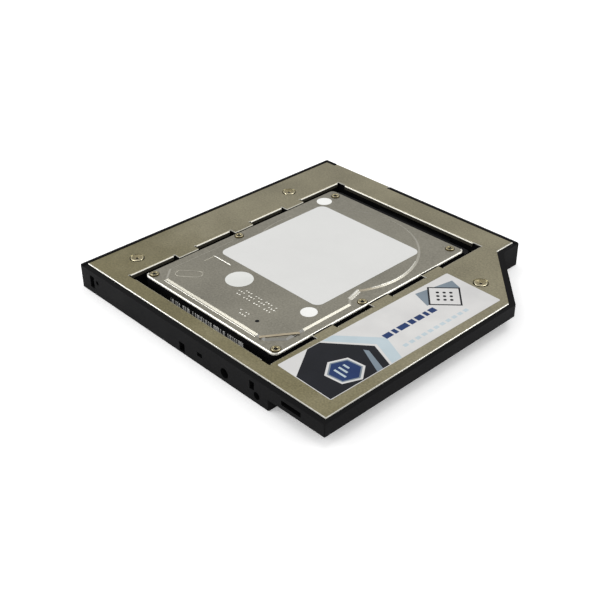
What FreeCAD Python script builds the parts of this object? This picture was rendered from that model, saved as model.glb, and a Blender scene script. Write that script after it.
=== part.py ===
import FreeCAD, Part
import math
import os
import re

from FreeCAD import Vector
import Sketcher

# Slim-bay adapter frame with a 2.5-inch hard disk in its window.
# Every formula below is in millimetres, measured from the frame's left front bottom corner:
# X to the right along the front wall, Y to the rear, Z up. Each sub-part's Placement then moves
# that corner so that the origin is at the middle of the footprint.

SIZES = {
    # Rails round the window, which with the disk give the frame its outline
    "left_rail": 18.8,
    "right_rail": 8.0,
    "front_rail": 7.95,
    "rear_rail": 11.95,
    "shelf_width": 24.8,
    "shelf_height": 5.15,
    "bay_height": 9.5,
    "corner_side": 9.8,
    "corner_run": 25.8,
    # Room between the window's edges and the disk
    "side_gap": 3.275,
    "front_gap": 5.05,
    "rear_gap": 2.85,
    "guide_gap": 0.4,
    # Frame walls
    "frame_rim": 1.8,
    "rim_rise": 0.25,
    "sheet_gap": 0.1,
    "frame_wall": 3.2,
    "frame_floor": 1.0,
    "inner_wall": 1.5,
    "rib_thickness": 1.2,
    "frame_gap": 0.2,
    "corner_round": 0.4,
    "over_cut": 1.0,
    # Steel sheets and label stock
    "sheet_thickness": 0.5,
    "plate_thickness": 0.3,
    "plate_gap": 0.15,
    "label_thickness": 0.1,
    "corner_rim": 2.4,
    "sheet_setback": 0.5,
    # Flanges and lands of the cover's window
    "bend_radius": 0.2,
    "flange_depth": 1.7,
    "relief_length": 1.0,
    "end_relief": 4.4,
    "lands": 3,
    "land_first": 21.35,
    "land_pitch": 27.3,
    "land_length": 9.0,
    # Cover screws and their dimples
    "cover_screw_left": 11.0,
    "cover_screw_shelf": 7.7,
    "cover_screw_front": 17.7,
    "cover_screw_rear": 33.1,
    "cover_head": 5.4,
    "cover_head_height": 0.45,
    "cover_shank": 2.0,
    "cover_screw_length": 3.2,
    "cover_cross_depth": 0.27,
    "cross_length": 2.8,
    "cross_width": 0.7,
    "dimple_depth": 0.5,
    "dimple_gap": 0.25,
    "boss_wall": 2.2,
    "screw_fit": 0.1,
    # Bottom plate, the tabs bent up from it and the opening that leaves its ledges under the disk
    "tab_left": 11.0,
    "tab_front": 26.0,
    "tab_rear": 22.0,
    "tab_width": 3.0,
    "tab_lip": 1.6,
    "plate_ledge": 7.5,
    "plate_ledge_front": 5.0,
    "plate_ledge_rear": 5.5,
    # Rear bracket holes
    "bracket_step": 7.3,
    "bracket_height": 5.2,
    "bracket_hole": 1.7,
    "bracket_hole_depth": 5.0,
    "bracket_boss": 4.4,
    # Front wall openings: places along the wall
    "latch_slot_left": 5.7,
    "lamp_hole_left": 10.3,
    "hook_slot_shift": 1.4,
    "key_slot_shift": 11.0,
    "button_hole_shift": 25.0,
    "clip_slot_step": 8.8,
    "pin_hole_step": 5.5,
    "bezel_slot_shelf": 6.0,
    # Front wall openings: heights and sizes
    "latch_slot_z": 2.3,
    "latch_slot_width": 2.6,
    "latch_slot_height": 4.9,
    "lamp_hole_z": 5.6,
    "lamp_hole": 1.7,
    "hook_slot_z": 0.7,
    "hook_slot_width": 2.9,
    "hook_slot_height": 3.5,
    "key_slot_z": 3.2,
    "key_slot_width": 2.7,
    "key_slot_height": 1.6,
    "button_hole_z": 3.3,
    "button_hole": 3.8,
    "clip_slot_z": 4.3,
    "clip_slot_width": 2.2,
    "clip_slot_height": 3.2,
    "pin_hole_z": 2.9,
    "pin_hole": 2.8,
    "bezel_slot_rise": 1.55,
    "bezel_slot_width": 8.6,
    "bezel_slot_height": 1.85,
    # Adapter board
    "board_left_gap": 1.4,
    "board_right_gap": 4.0,
    "board_thickness": 1.0,
    "board_standoff": 0.3,
    "board_gap": 0.25,
    "board_post": 3.6,
    "board_screw_inset": 5.5,
    "board_head": 3.4,
    "board_head_height": 1.0,
    "board_shank": 1.6,
    "board_screw_length": 1.2,
    "board_cross_depth": 0.5,
    "board_cross": 2.0,
    "chips": 3,
    "chip_length": 1.6,
    "chip_width": 0.8,
    "chip_height": 0.8,
    # Connectors
    "signal_contacts": 7,
    "power_contacts": 15,
    "slim_contacts": 6,
    "pitches_across": 55,
    "contact_width": 0.7,
    "contact_thickness": 0.12,
    "contact_first": 0.35,
    "contact_inset": 0.8,
    "socket_shift": 4.8,
    "connector_height": 4.1,
    "tongue_margin": 1.53,
    "tongue_split": 2.4,
    "tongue_thickness": 1.2,
    "tongue_key": 1.3,
    "tongue_key_width": 1.2,
    "tongue_gap": 0.3,
    "tongue_inset": 0.4,
    "nose_side": 1.8,
    "nose_height": 3.6,
    "nose_length": 3.8,
    "nose_gap": 0.3,
    "plug_wall": 1.1,
    "plug_skin": 0.4,
    "plug_back": 1.0,
    "plug_fit": 0.1,
    "socket_body_depth": 3.3,
    "host_plug_left": 6.5,
    "host_side": 4.2,
    "host_headroom": 1.4,
    "host_setback": 1.6,
    "host_plug_inset": 0.2,
    "host_gap": 0.5,
    "host_wall": 0.8,
    # Disk housing
    "drive_width": 69.85,
    "drive_length": 100.2,
    "drive_height": 9.1,
    "drive_corner": 2.0,
    "mount_hole_inset": 4.07,
    "mount_hole_rear": 14.0,
    "mount_hole_front": 9.6,
    "mount_hole": 2.5,
    "mount_hole_depth": 3.0,
    "side_hole_depth": 1.5,
    "mount_hole_height": 3.0,
    "mount_clear_hole": 3.4,
    "rear_step": 1.0,
    "rear_ledge": 3.8,
    # Disk cover plate
    "cover_inset": 0.1,
    "cover_thickness": 0.65,
    "relief_height": 0.4,
    "relief_slope": 65.0,
    "rim_bevel": 0.25,
    "gasket_thickness": 0.3,
    "gasket_inset": 0.4,
    "gasket_width": 0.7,
    "platter_shift": 0.475,
    "platter_rear": 33.4,
    "platter_edge": 3.525,
    "relief_side": 3.3,
    "relief_front": 3.0,
    "relief_corner_x": 8.3,
    "relief_corner_y": 8.6,
    "relief_notch_y": 38.8,
    "relief_notch_depth": 2.4,
    "breather_right": 18.25,
    "breather_front": 8.8,
    "breather": 1.6,
    "stamp_depth": 0.15,
    "stamp_x": 8.0,
    "stamp_y": 21.3,
    "stamp_width": 9.3,
    "stamp_height": 5.0,
    "slant_x": 11.4,
    "slant_y": 11.5,
    "slant_length": 10.0,
    "slant_width": 4.0,
    "slant_angle": 40.0,
    "slant_depth": 0.06,
    # Heads of the disk cover's screws
    "disk_screw_front": 2.7,
    "disk_screw_front_inset": 2.3,
    "disk_screw_mid": 43.2,
    "disk_screw_mid_inset": 2.2,
    "disk_screw_rear": 3.0,
    "disk_screw_rear_inset": 4.6,
    "disk_head": 3.6,
    "disk_head_rise": 0.15,
    "star_width": 1.6,
    "star_depth": 0.27,
    # Labels and seals on the disk
    "drive_label_left": 7.1,
    "drive_label_right": 10.25,
    "drive_label_front": 29.3,
    "drive_label_rear": 13.1,
    "drive_label_corner": 3.0,
    "seal_large": 10.3,
    "seal_large_left": 27.1,
    "seal_large_front": 22.0,
    "seal_right": 6.0,
    "seal_right_side": 9.95,
    "seal_right_front": 25.0,
    "seal_rear": 6.2,
    "seal_rear_left": 4.9,
    "seal_rear_back": 9.7,
    "end_label_left": 15.2,
    "end_label_right": 15.55,
    "end_label_z": 1.2,
    "end_label_height": 4.4,
    # Disk circuit board and motor
    "drive_board_inset": 6.4,
    "drive_board_reach": 20.0,
    "drive_board_level": 0.7,
    "drive_board_thickness": 0.8,
    "drive_board_gap": 0.2,
    "motor_diameter": 24.0,
    "motor_hub": 9.6,
    "motor_step": 0.4,
    "motor_level": 0.4,
    "motor_seat": 0.8,
    "motor_gap": 0.25,
    # Sticker on the cover
    "sticker_window": 2.35,
    "sticker_side": 6.05,
    "sticker_front": 9.55,
    "sticker_corner": 1.35,
    "sticker_turn": 1.15,
}

WORKED_OUT = {
    # Window and outline, built up from the disk
    "window_width": "drive_width + 2 * side_gap",
    "window_depth": "front_gap + drive_length + rear_gap",
    "window_left": "left_rail",
    "window_front": "front_rail",
    "window_right": "window_left + window_width",
    "window_rear": "window_front + window_depth",
    "window_middle": "window_left + window_width / 2",
    "step_x": "window_right + right_rail",
    "bay_width": "step_x + shelf_width",
    "bay_depth": "window_rear + rear_rail",
    # Frame
    "shoulder_y": "bay_depth - corner_side",
    "corner_y": "shoulder_y - corner_run",
    "slant_scale": "sqrt(shelf_width ^ 2 + corner_run ^ 2)",
    "shelf_bottom": "bay_height - shelf_height",
    "sheet_top": "bay_height - label_thickness",
    "frame_top": "sheet_top - sheet_thickness",
    "rim_level": "frame_top + rim_rise",
    "floor_top": "plate_thickness + frame_floor",
    "floor_root": "plate_thickness + frame_floor / 2",
    "shelf_floor_top": "shelf_bottom + frame_floor",
    "shelf_floor_root": "shelf_bottom + frame_floor / 2",
    "opening_left": "window_left - frame_gap",
    "opening_right": "window_right + frame_gap",
    "opening_front": "window_front - frame_gap",
    "opening_rear": "window_rear + frame_gap",
    "bezel_slot_z": "shelf_bottom + bezel_slot_rise",
    # Cover, its screws and the plate's tabs
    "bend_outer": "bend_radius + sheet_thickness",
    "land_left": "drive_left - guide_gap",
    "land_right": "drive_right + guide_gap",
    "dimple_floor": "sheet_top - dimple_depth",
    "dimple_under": "frame_top - dimple_depth",
    "dimple_width": "cover_head + 2 * dimple_gap",
    "dimple_outer": "dimple_width + 2 * dimple_gap",
    "cover_screw_right": "step_x + cover_screw_shelf",
    "boss_width": "cover_shank + 2 * boss_wall",
    "tab_right": "(opening_right + inner_wall + step_x - frame_wall) / 2",
    "tab_top": "floor_top + plate_thickness",
    "tab_length": "frame_floor + plate_thickness + tab_lip",
    # Disk
    "drive_left": "window_middle - drive_width / 2",
    "drive_right": "window_middle + drive_width / 2",
    "drive_front": "window_front + front_gap",
    "drive_rear": "drive_front + drive_length",
    "drive_bottom": "plate_thickness",
    "drive_top": "drive_bottom + drive_height",
    "rim_top": "drive_top - relief_height",
    "cover_bottom": "rim_top - cover_thickness",
    "base_top": "cover_bottom - gasket_thickness",
    "cover_front": "drive_front + cover_inset",
    "cover_rear": "drive_rear - rear_ledge",
    "platter_cx": "window_middle + platter_shift",
    "platter_cy": "cover_rear - platter_rear",
    "platter_radius": "drive_width / 2 - platter_edge",
    "disk_head_top": "rim_top + disk_head_rise",
    "disk_board_bottom": "drive_bottom + drive_board_level",
    "disk_board_top": "disk_board_bottom + drive_board_thickness",
    "disk_board_left": "drive_left + drive_board_inset",
    "disk_board_right": "drive_right - drive_board_inset",
    "disk_board_front": "platter_cy - drive_board_reach",
    "motor_top": "disk_board_top + motor_seat",
    # Connectors, on the pitch that divides the disk's width evenly
    "contact_pitch": "drive_width / pitches_across",
    "signal_tongue": "signal_contacts * contact_pitch + tongue_margin",
    "power_tongue": "power_contacts * contact_pitch + tongue_margin",
    "slim_tongue": "slim_contacts * contact_pitch + tongue_margin",
    "socket_width": "signal_tongue + tongue_split + power_tongue",
    "tongue_middle": "drive_bottom + connector_height",
    "tongue_low": "tongue_middle - tongue_thickness / 2",
    "tongue_high": "tongue_middle + tongue_thickness / 2",
    "slot_low": "tongue_low - tongue_gap",
    "socket_middle": "window_middle + socket_shift",
    "socket_left": "socket_middle - socket_width / 2",
    "power_left": "socket_left + signal_tongue + tongue_split",
    "nose_left": "socket_left - nose_side",
    "nose_right": "socket_left + socket_width + nose_side",
    "nose_low": "tongue_middle - nose_height / 2",
    "nose_high": "tongue_middle + nose_height / 2",
    "nose_front": "drive_rear - nose_length",
    "plug_left": "nose_left - nose_gap - plug_wall",
    "plug_right": "nose_right + nose_gap + plug_wall",
    "plug_low": "nose_low - nose_gap - plug_skin",
    "plug_high": "nose_high + nose_gap + plug_skin",
    "plug_front": "nose_front - nose_gap - plug_back",
    "plug_mouth": "plug_front + plug_back",
    # Adapter board
    "board_bottom": "floor_top + board_standoff",
    "board_top": "board_bottom + board_thickness",
    "board_left": "frame_wall + board_left_gap",
    "board_right": "step_x - frame_wall - board_right_gap",
    "board_front": "opening_rear + inner_wall + board_gap",
    "board_rear": "bay_depth - frame_wall - board_gap",
    "board_post_x": "(host_plug_right + nose_left) / 2",
    "board_screw_x": "board_right - board_screw_inset",
    "board_middle": "(board_front + board_rear) / 2",
    "chips_right": "board_screw_x - board_head / 2",
    "chip_pitch": "(chips_right - nose_right) / (chips + 1)",
    "socket_rear": "board_front + socket_body_depth",
    # Plug for the bay, at the rear wall
    "host_width": "signal_tongue + tongue_split + slim_tongue + 2 * host_side",
    "host_plug_right": "host_plug_left + host_width",
    "host_left": "host_plug_left + host_gap",
    "host_right": "host_plug_right - host_gap",
    "host_rear": "bay_depth - host_plug_inset",
    "host_front": "board_front + host_setback",
    "host_back": "host_front + plug_back",
    "host_high": "frame_top - host_headroom",
    "host_tongue_middle": "(board_top + host_high) / 2 + tongue_gap",
    "host_tongue_low": "host_tongue_middle - tongue_thickness / 2",
    "host_tongue_high": "host_tongue_middle + tongue_thickness / 2",
    "host_signal_left": "host_plug_left + host_side",
    "host_power_left": "host_signal_left + signal_tongue + tongue_split",
    "bracket_left": "board_post_x",
    "bracket_right": "step_x - bracket_step",
    # Sticker
    "sticker_width": "shelf_width + right_rail - sticker_window - sticker_side",
    "sticker_length": "corner_y - sticker_corner - sticker_front",
    "sticker_x": "window_right + sticker_window + sticker_width / 2",
    "sticker_y": "sticker_front + sticker_length / 2",
}


def bind(formula):
    """Return a formula with its words swapped for spreadsheet cells."""

    def swap(match):
        word = match.group(0)
        if word in WORKED_OUT:
            return "(" + bind(WORKED_OUT[word]) + ")"
        if word in SIZES:
            return "sizes." + word
        return word

    return re.sub(r"[a-z][a-z0-9_]*", swap, formula)


def make_sheet(doc):
    sheet = doc.addObject("Spreadsheet::Sheet", "sizes")
    for row, (alias, number) in enumerate(SIZES.items(), start=1):
        sheet.set(f"A{row}", alias)
        sheet.set(f"B{row}", str(number))
        sheet.setAlias(f"B{row}", alias)
    doc.recompute()
    return sheet


def value(formula):
    """Work a formula out from the spreadsheet, as a plain number."""
    sheet = FreeCAD.ActiveDocument.getObject("sizes")
    return float(sheet.evalExpression(bind(formula)))


def new_body(label):
    body = FreeCAD.ActiveDocument.addObject("PartDesign::Body", label)
    body.Label = label
    body.setExpression("Placement.Base.x", bind("-bay_width / 2"))
    body.setExpression("Placement.Base.y", bind("-bay_depth / 2"))
    return body


def sketch_on(body, role, level):
    """Attach a sketch to one of the body's own planes, moved along the plane's normal."""
    sketch = body.newObject("Sketcher::SketchObject", "Sketch")
    plane = [item for item in body.Origin.OriginFeatures if item.Role == role][0]
    sketch.AttachmentSupport = (plane, [""])
    sketch.MapMode = "FlatFace"
    sketch.setExpression("AttachmentOffset.Base.z", bind(level))
    return sketch


def bind_rules(sketch, rules):
    """Add constraints together, then tie each one that has a formula to it."""
    first = sketch.ConstraintCount
    sketch.addConstraint([rule for rule, formula in rules])
    for number, (rule, formula) in enumerate(rules):
        if formula is not None:
            sketch.setExpression(f"Constraints[{first + number}]", bind(formula))


def add_arc(sketch, start, end, centre):
    """Draw the short arc from start to end and return its number and its end vertices."""
    radius = math.dist(start, centre)
    begin = math.atan2(start[1] - centre[1], start[0] - centre[0])
    stop = math.atan2(end[1] - centre[1], end[0] - centre[0])
    circle = Part.Circle(Vector(*centre, 0), Vector(0, 0, 1), radius)
    if (stop - begin) % (2 * math.pi) <= math.pi:
        return sketch.addGeometry(Part.ArcOfCircle(circle, begin, stop), False), 1, 2
    return sketch.addGeometry(Part.ArcOfCircle(circle, stop, begin), False), 2, 1


def outline(sketch, corners):
    """Draw a closed outline of (x, y) corners; (x, y, cx, cy) is reached by an arc about cx, cy."""
    spots = [(value(corner[0]), value(corner[1])) for corner in corners]
    lines = []
    rules = []
    for number, corner in enumerate(corners):
        start, end = spots[number - 1], spots[number]
        bound = ["DistanceX", "DistanceY"]
        if len(corner) == 2:
            segment = Part.LineSegment(Vector(*start, 0), Vector(*end, 0))
            lines.append((sketch.addGeometry(segment, False), 1, 2))
        else:
            centre = (value(corner[2]), value(corner[3]))
            lines.append(add_arc(sketch, start, end, centre))
            index = lines[-1][0]
            rules.append((Sketcher.Constraint("DistanceX", -1, 1, index, 3, centre[0]), corner[2]))
            rules.append((Sketcher.Constraint("DistanceY", -1, 1, index, 3, centre[1]), corner[3]))
            across = abs(end[1] - centre[1]) > abs(end[0] - centre[0])
            bound = ["DistanceX"] if across else ["DistanceY"]
        index, first, last = lines[-1]
        for kind in bound:
            axis = 0 if kind == "DistanceX" else 1
            rule = Sketcher.Constraint(kind, -1, 1, index, last, end[axis])
            rules.append((rule, corner[axis]))
    for number, (index, first, last) in enumerate(lines):
        before, before_first, before_last = lines[number - 1]
        rules.append((Sketcher.Constraint("Coincident", before, before_last, index, first), None))
    bind_rules(sketch, rules)


def rectangle(sketch, left, low, right, high):
    outline(sketch, [(left, low), (right, low), (right, high), (left, high)])


def circle(sketch, across, along, diameter):
    centre = (value(across), value(along))
    shape = Part.Circle(Vector(*centre, 0), Vector(0, 0, 1), value(diameter) / 2)
    index = sketch.addGeometry(shape, False)
    bind_rules(sketch, [
        (Sketcher.Constraint("DistanceX", -1, 1, index, 3, centre[0]), across),
        (Sketcher.Constraint("DistanceY", -1, 1, index, 3, centre[1]), along),
        (Sketcher.Constraint("Diameter", index, value(diameter)), diameter),
    ])


def pad(body, sketch, length, taper=None, backwards=False):
    feature = body.newObject("PartDesign::Pad", "Pad")
    feature.Profile = (sketch, [""])
    feature.setExpression("Length", bind(length))
    feature.Reversed = backwards
    if taper is not None:
        feature.setExpression("TaperAngle", bind(taper))
    sketch.Visibility = False
    return feature


def pocket(body, sketch, length, backwards=True):
    """Cut along the plane's normal, or against it if backwards is off."""
    feature = body.newObject("PartDesign::Pocket", "Pocket")
    feature.Profile = (sketch, [""])
    feature.setExpression("Length", bind(length))
    feature.Reversed = backwards
    sketch.Visibility = False
    return feature


def row_along_x(body, feature, count, pitch):
    """Repeat a feature to the right, at a pitch."""
    pattern = body.newObject("PartDesign::LinearPattern", "LinearPattern")
    pattern.Originals = [feature]
    pattern.Direction = (feature.Profile[0], ["H_Axis"])
    pattern.Mode = "Spacing"
    pattern.setExpression("Offset", bind(pitch))
    pattern.setExpression("Occurrences", bind(count))
    body.Tip = pattern
    return pattern


def block(body, bounds, low, high):
    """Add a block between two levels; bounds is left, front, right, rear."""
    sketch = sketch_on(body, "XY_Plane", low)
    rectangle(sketch, *bounds)
    return pad(body, sketch, f"({high}) - ({low})")


def cut_block(body, bounds, low, high):
    sketch = sketch_on(body, "XY_Plane", low)
    rectangle(sketch, *bounds)
    return pocket(body, sketch, f"({high}) - ({low})")


def discs(body, centres, diameter, low, high):
    """Add upright round posts at the centres, between two levels."""
    sketch = sketch_on(body, "XY_Plane", low)
    for across, along in centres:
        circle(sketch, across, along, diameter)
    return pad(body, sketch, f"({high}) - ({low})")


def drill(body, centres, diameter, low, high):
    sketch = sketch_on(body, "XY_Plane", low)
    for across, along in centres:
        circle(sketch, across, along, diameter)
    return pocket(body, sketch, f"({high}) - ({low})")


def six_sides(across, along, width):
    """Corners of a six-sided outline, given its width across the flats."""
    corner, half = f"({width}) / sqrt(3)", f"({width}) / 2"
    near = f"({width}) / sqrt(12)"
    steps = [(corner, "0"), (near, half), (f"-{near}", half),
             (f"-{corner}", "0"), (f"-{near}", f"-{half}"), (near, f"-{half}")]
    return [(f"{across} + ({x})", f"{along} + ({y})") for x, y in steps]


def six_sided_holes(body, centres, width, low, high):
    sketch = sketch_on(body, "XY_Plane", low)
    for across, along in centres:
        outline(sketch, six_sides(across, along, width))
    pocket(body, sketch, f"({high}) - ({low})")


def posts(body, centres, width, low, high):
    """Add upright square posts at the centres, between two levels."""
    sketch = sketch_on(body, "XY_Plane", low)
    for across, along in centres:
        rectangle(sketch, f"{across} - ({width}) / 2", f"{along} - ({width}) / 2",
                  f"{across} + ({width}) / 2", f"{along} + ({width}) / 2")
    return pad(body, sketch, f"({high}) - ({low})")


def edges_at_level(feature, level):
    """Name the edges of a feature that lie at one level."""
    FreeCAD.ActiveDocument.recompute()
    height = value(level)
    names = []
    for number, edge in enumerate(feature.Shape.Edges, start=1):
        if all(math.isclose(vertex.Z, height, abs_tol=1e-6) for vertex in edge.Vertexes):
            names.append(f"Edge{number}")
    return names


def upright_edges(feature):
    """Name the upright edges of a feature."""
    FreeCAD.ActiveDocument.recompute()
    names = []
    for number, edge in enumerate(feature.Shape.Edges, start=1):
        ends = [vertex.Point for vertex in edge.Vertexes]
        if len(ends) == 2 and math.dist(ends[0][:2], ends[1][:2]) < 1e-6:
            names.append(f"Edge{number}")
    return names


def fillet(body, feature, names, radius):
    rounded = body.newObject("PartDesign::Fillet", "Fillet")
    rounded.Base = (feature, names)
    rounded.setExpression("Radius", bind(radius))
    return rounded


def bevel(body, feature, names, size):
    bevelled = body.newObject("PartDesign::Chamfer", "Chamfer")
    bevelled.Base = (feature, names)
    bevelled.setExpression("Size", bind(size))
    return bevelled


def cover_screw_centres():
    lefts = ["cover_screw_left", "cover_screw_right"]
    return [(x, y) for x in lefts for y in ("cover_screw_front", "bay_depth - cover_screw_rear")]


def tab_roots():
    """Places where the plate's tabs bend up, at the middle of each tab's front face."""
    return [(x, y) for x in ("tab_left", "tab_right") for y in ("tab_front", "bay_depth - tab_rear")]


def disk_screw_centres():
    rows = [("front", "drive_front + disk_screw_front"), ("mid", "drive_front + disk_screw_mid"),
            ("rear", "cover_rear - disk_screw_rear")]
    centres = []
    for place, along in rows:
        centres.append((f"drive_left + disk_screw_{place}_inset", along))
        centres.append((f"drive_right - disk_screw_{place}_inset", along))
    return centres


def mount_hole_centres():
    lefts = ["drive_left + mount_hole_inset", "drive_right - mount_hole_inset"]
    return [(x, y) for x in lefts for y in mount_hole_rows()]


def mount_hole_rows():
    return ["drive_front + mount_hole_front", "drive_rear - mount_hole_rear"]


def land_spans():
    """Give the front and rear of each land along the window's sides."""
    spans = []
    for number in range(int(value("lands"))):
        front = f"window_front + land_first + {number} * land_pitch"
        spans.append((front, f"{front} + land_length"))
    return spans


def window_outline(sketch, left, front, right, rear):
    """Draw the window, with the lands' steps toward the disk along both sides."""
    left_side = []
    right_side = []
    for low, high in land_spans():
        right_side += [(right, low), ("land_right", low), ("land_right", high), (right, high)]
        left_side = [(left, high), ("land_left", high), ("land_left", low), (left, low)] + left_side
    outline(sketch, [(left, front), (right, front)] + right_side
            + [(right, rear), (left, rear)] + left_side)


def slanted_rear(rim, slant_rim):
    """Give the two ends of a line that follows the cut-off corner at its own inset."""
    slope = "corner_run / shelf_width"
    inset = f"({slant_rim}) * slant_scale / shelf_width"
    right = (f"bay_width - ({rim})", f"corner_y + ({rim}) * {slope} - {inset}")
    left = (f"step_x - ({rim})", f"shoulder_y + ({rim}) * {slope} - {inset}")
    return right, left


def cover_outline(sketch, grow, tab_rear):
    """Draw the sheet's outline, grown by a gap, with the tab over the bay's plug."""
    rim = f"frame_rim - {grow}"
    right, left = slanted_rear(rim, f"corner_rim - {grow}")
    front, rear = f"{rim} + sheet_setback", f"bay_depth - ({rim})"
    tab_left, tab_right = f"host_plug_left - {grow}", f"host_plug_right + {grow}"
    outline(sketch, [
        (rim, front), (f"bay_width - ({rim})", front), right, left,
        (f"step_x - ({rim})", rear), (tab_right, rear), (tab_right, tab_rear),
        (tab_left, tab_rear), (tab_left, rear), (rim, rear)])


# Frame

def frame_walls(body):
    """Deep part round the window and the thinner shelf on its right, with a rim round the sheet."""
    block(body, ("0", "0", "step_x", "bay_depth"), "0", "rim_level")
    shelf = sketch_on(body, "XY_Plane", "shelf_bottom")
    outline(shelf, [
        ("step_x - frame_wall", "0"), ("bay_width", "0"), ("bay_width", "corner_y"),
        ("step_x", "shoulder_y"), ("step_x - frame_wall", "shoulder_y")])
    walls = pad(body, shelf, "rim_level - shelf_bottom")
    fillet(body, walls, upright_edges(walls), "corner_round")
    seat = sketch_on(body, "XY_Plane", "frame_top")
    cover_outline(seat, "sheet_gap", "bay_depth + over_cut")
    pocket(body, seat, "rim_rise")
    hollow = ("frame_wall", "frame_wall", "step_x - frame_wall", "bay_depth - frame_wall")
    cut_block(body, hollow, "floor_top", "bay_height")
    right, left = slanted_rear("frame_wall", "frame_wall")
    hollow_shelf = sketch_on(body, "XY_Plane", "shelf_floor_top")
    outline(hollow_shelf, [
        ("step_x - 2 * frame_wall", "frame_wall"), ("bay_width - frame_wall", "frame_wall"),
        right, left, ("step_x - 2 * frame_wall", left[1])])
    pocket(body, hollow_shelf, "bay_height - shelf_floor_top")


def frame_ribs(body):
    """Cross ribs in both side rails and in the shelf, one under the middle of each land."""
    deep = sketch_on(body, "XY_Plane", "floor_root")
    thin = sketch_on(body, "XY_Plane", "shelf_floor_root")
    for front, rear in land_spans():
        low = f"({front} + {rear} - rib_thickness) / 2"
        high = f"({front} + {rear} + rib_thickness) / 2"
        rectangle(deep, "frame_wall / 2", low, "window_left", high)
        rectangle(deep, "window_right", low, "step_x - frame_wall / 2", high)
        rectangle(thin, "step_x - frame_wall", low, "bay_width - frame_wall / 2", high)
    pad(body, deep, "frame_top - floor_root")
    pad(body, thin, "frame_top - shelf_floor_root")


def frame_window(body):
    """Wall round the window, then the window itself, with a guide lug under each land."""
    block(body, ("opening_left - inner_wall", "opening_front - inner_wall",
                 "opening_right + inner_wall", "opening_rear + inner_wall"), "0", "frame_top")
    sketch = sketch_on(body, "XY_Plane", "0")
    window_outline(sketch, "opening_left", "opening_front", "opening_right", "opening_rear")
    pocket(body, sketch, "bay_height")


def frame_bosses(body):
    """Square bosses with six-sided cored holes for the cover screws, and slots for the tabs."""
    centres = cover_screw_centres()
    posts(body, centres[:2], "boss_width", "floor_root", "dimple_under")
    posts(body, centres[2:], "boss_width", "shelf_floor_root", "dimple_under")
    six_sided_holes(body, centres, "cover_shank + screw_fit", "dimple_under - cover_screw_length",
                    "dimple_under")
    slots = sketch_on(body, "XY_Plane", "0")
    for across, along in tab_roots():
        rectangle(slots, f"{across} - tab_width / 2 - plate_gap", f"{along} - plate_gap",
                  f"{across} + tab_width / 2 + plate_gap", f"{along} + plate_thickness + plate_gap")
    pocket(body, slots, "floor_top")


def frame_board_seats(body):
    """Two posts and two end ribs that hold the adapter board off the floor."""
    screw = [("board_screw_x", "board_middle")]
    posts(body, screw + [("board_post_x", "board_middle")], "board_post", "floor_root", "board_bottom")
    ends = sketch_on(body, "XY_Plane", "floor_root")
    for left in ("board_left", "board_right - inner_wall"):
        rectangle(ends, left, "board_front", f"{left} + inner_wall", "board_rear")
    pad(body, ends, "board_bottom - floor_root")
    six_sided_holes(body, screw, "board_shank + screw_fit", "board_top - board_screw_length",
                    "board_bottom")


def frame_front_openings(body):
    """Slots and holes that take the bay's faceplate, eject pin and lamp."""
    sketch = sketch_on(body, "XZ_Plane", "0")
    slots = [("latch", "latch_slot_left"), ("hook", "window_middle + hook_slot_shift"),
             ("key", "window_middle + key_slot_shift"), ("clip", "step_x - clip_slot_step"),
             ("bezel", "step_x + bezel_slot_shelf")]
    for name, left in slots:
        rectangle(sketch, left, f"{name}_slot_z", f"{left} + {name}_slot_width",
                  f"{name}_slot_z + {name}_slot_height")
    circle(sketch, "lamp_hole_left", "lamp_hole_z", "lamp_hole")
    circle(sketch, "window_middle + button_hole_shift", "button_hole_z", "button_hole")
    circle(sketch, "step_x - pin_hole_step", "pin_hole_z", "pin_hole")
    pocket(body, sketch, "frame_wall + over_cut", backwards=False)


def frame_rear_openings(body):
    """Cut-out for the bay's plug, mouth for the disk's socket and two bracket screw bosses."""
    cut_block(body, ("host_plug_left", "bay_depth - frame_wall", "host_plug_right", "bay_depth"),
              "floor_top", "bay_height")
    cut_block(body, ("nose_left - board_gap", "window_rear", "nose_right + board_gap", "board_front"),
              "board_bottom", "frame_top - inner_wall")
    bosses = sketch_on(body, "XZ_Plane", "-(bay_depth - bracket_hole_depth - inner_wall)")
    drills = sketch_on(body, "XZ_Plane", "-(bay_depth - bracket_hole_depth)")
    for across in ("bracket_left", "bracket_right"):
        rectangle(bosses, f"{across} - bracket_boss / 2", "board_top + inner_wall",
                  f"{across} + bracket_boss / 2", "frame_top")
        circle(drills, across, "bracket_height", "bracket_hole")
    pad(body, bosses, "bracket_hole_depth", backwards=True)
    pocket(body, drills, "bracket_hole_depth + over_cut", backwards=False)


def make_frame():
    body = new_body("frame")
    frame_walls(body)
    frame_ribs(body)
    frame_window(body)
    frame_bosses(body)
    frame_board_seats(body)
    frame_front_openings(body)
    frame_rear_openings(body)
    rebate = ("frame_rim - plate_gap", "frame_rim - plate_gap",
              "step_x - frame_rim + plate_gap", "bay_depth - frame_rim + plate_gap")
    cut_block(body, rebate, "0", "plate_thickness")
    return body


# Top cover

def flange_profile(sketch, edge, sign):
    """Section of a bent-down flange that leaves the flat sheet at an edge."""
    bend = "sheet_top - bend_outer"
    face = f"{edge} {sign} bend_outer"
    back = f"{edge} {sign} bend_radius"
    outline(sketch, [
        (edge, "sheet_top"), (face, bend, edge, bend),
        (face, "sheet_top - flange_depth"), (back, "sheet_top - flange_depth"),
        (back, bend), (edge, "frame_top", edge, bend)])


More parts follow.
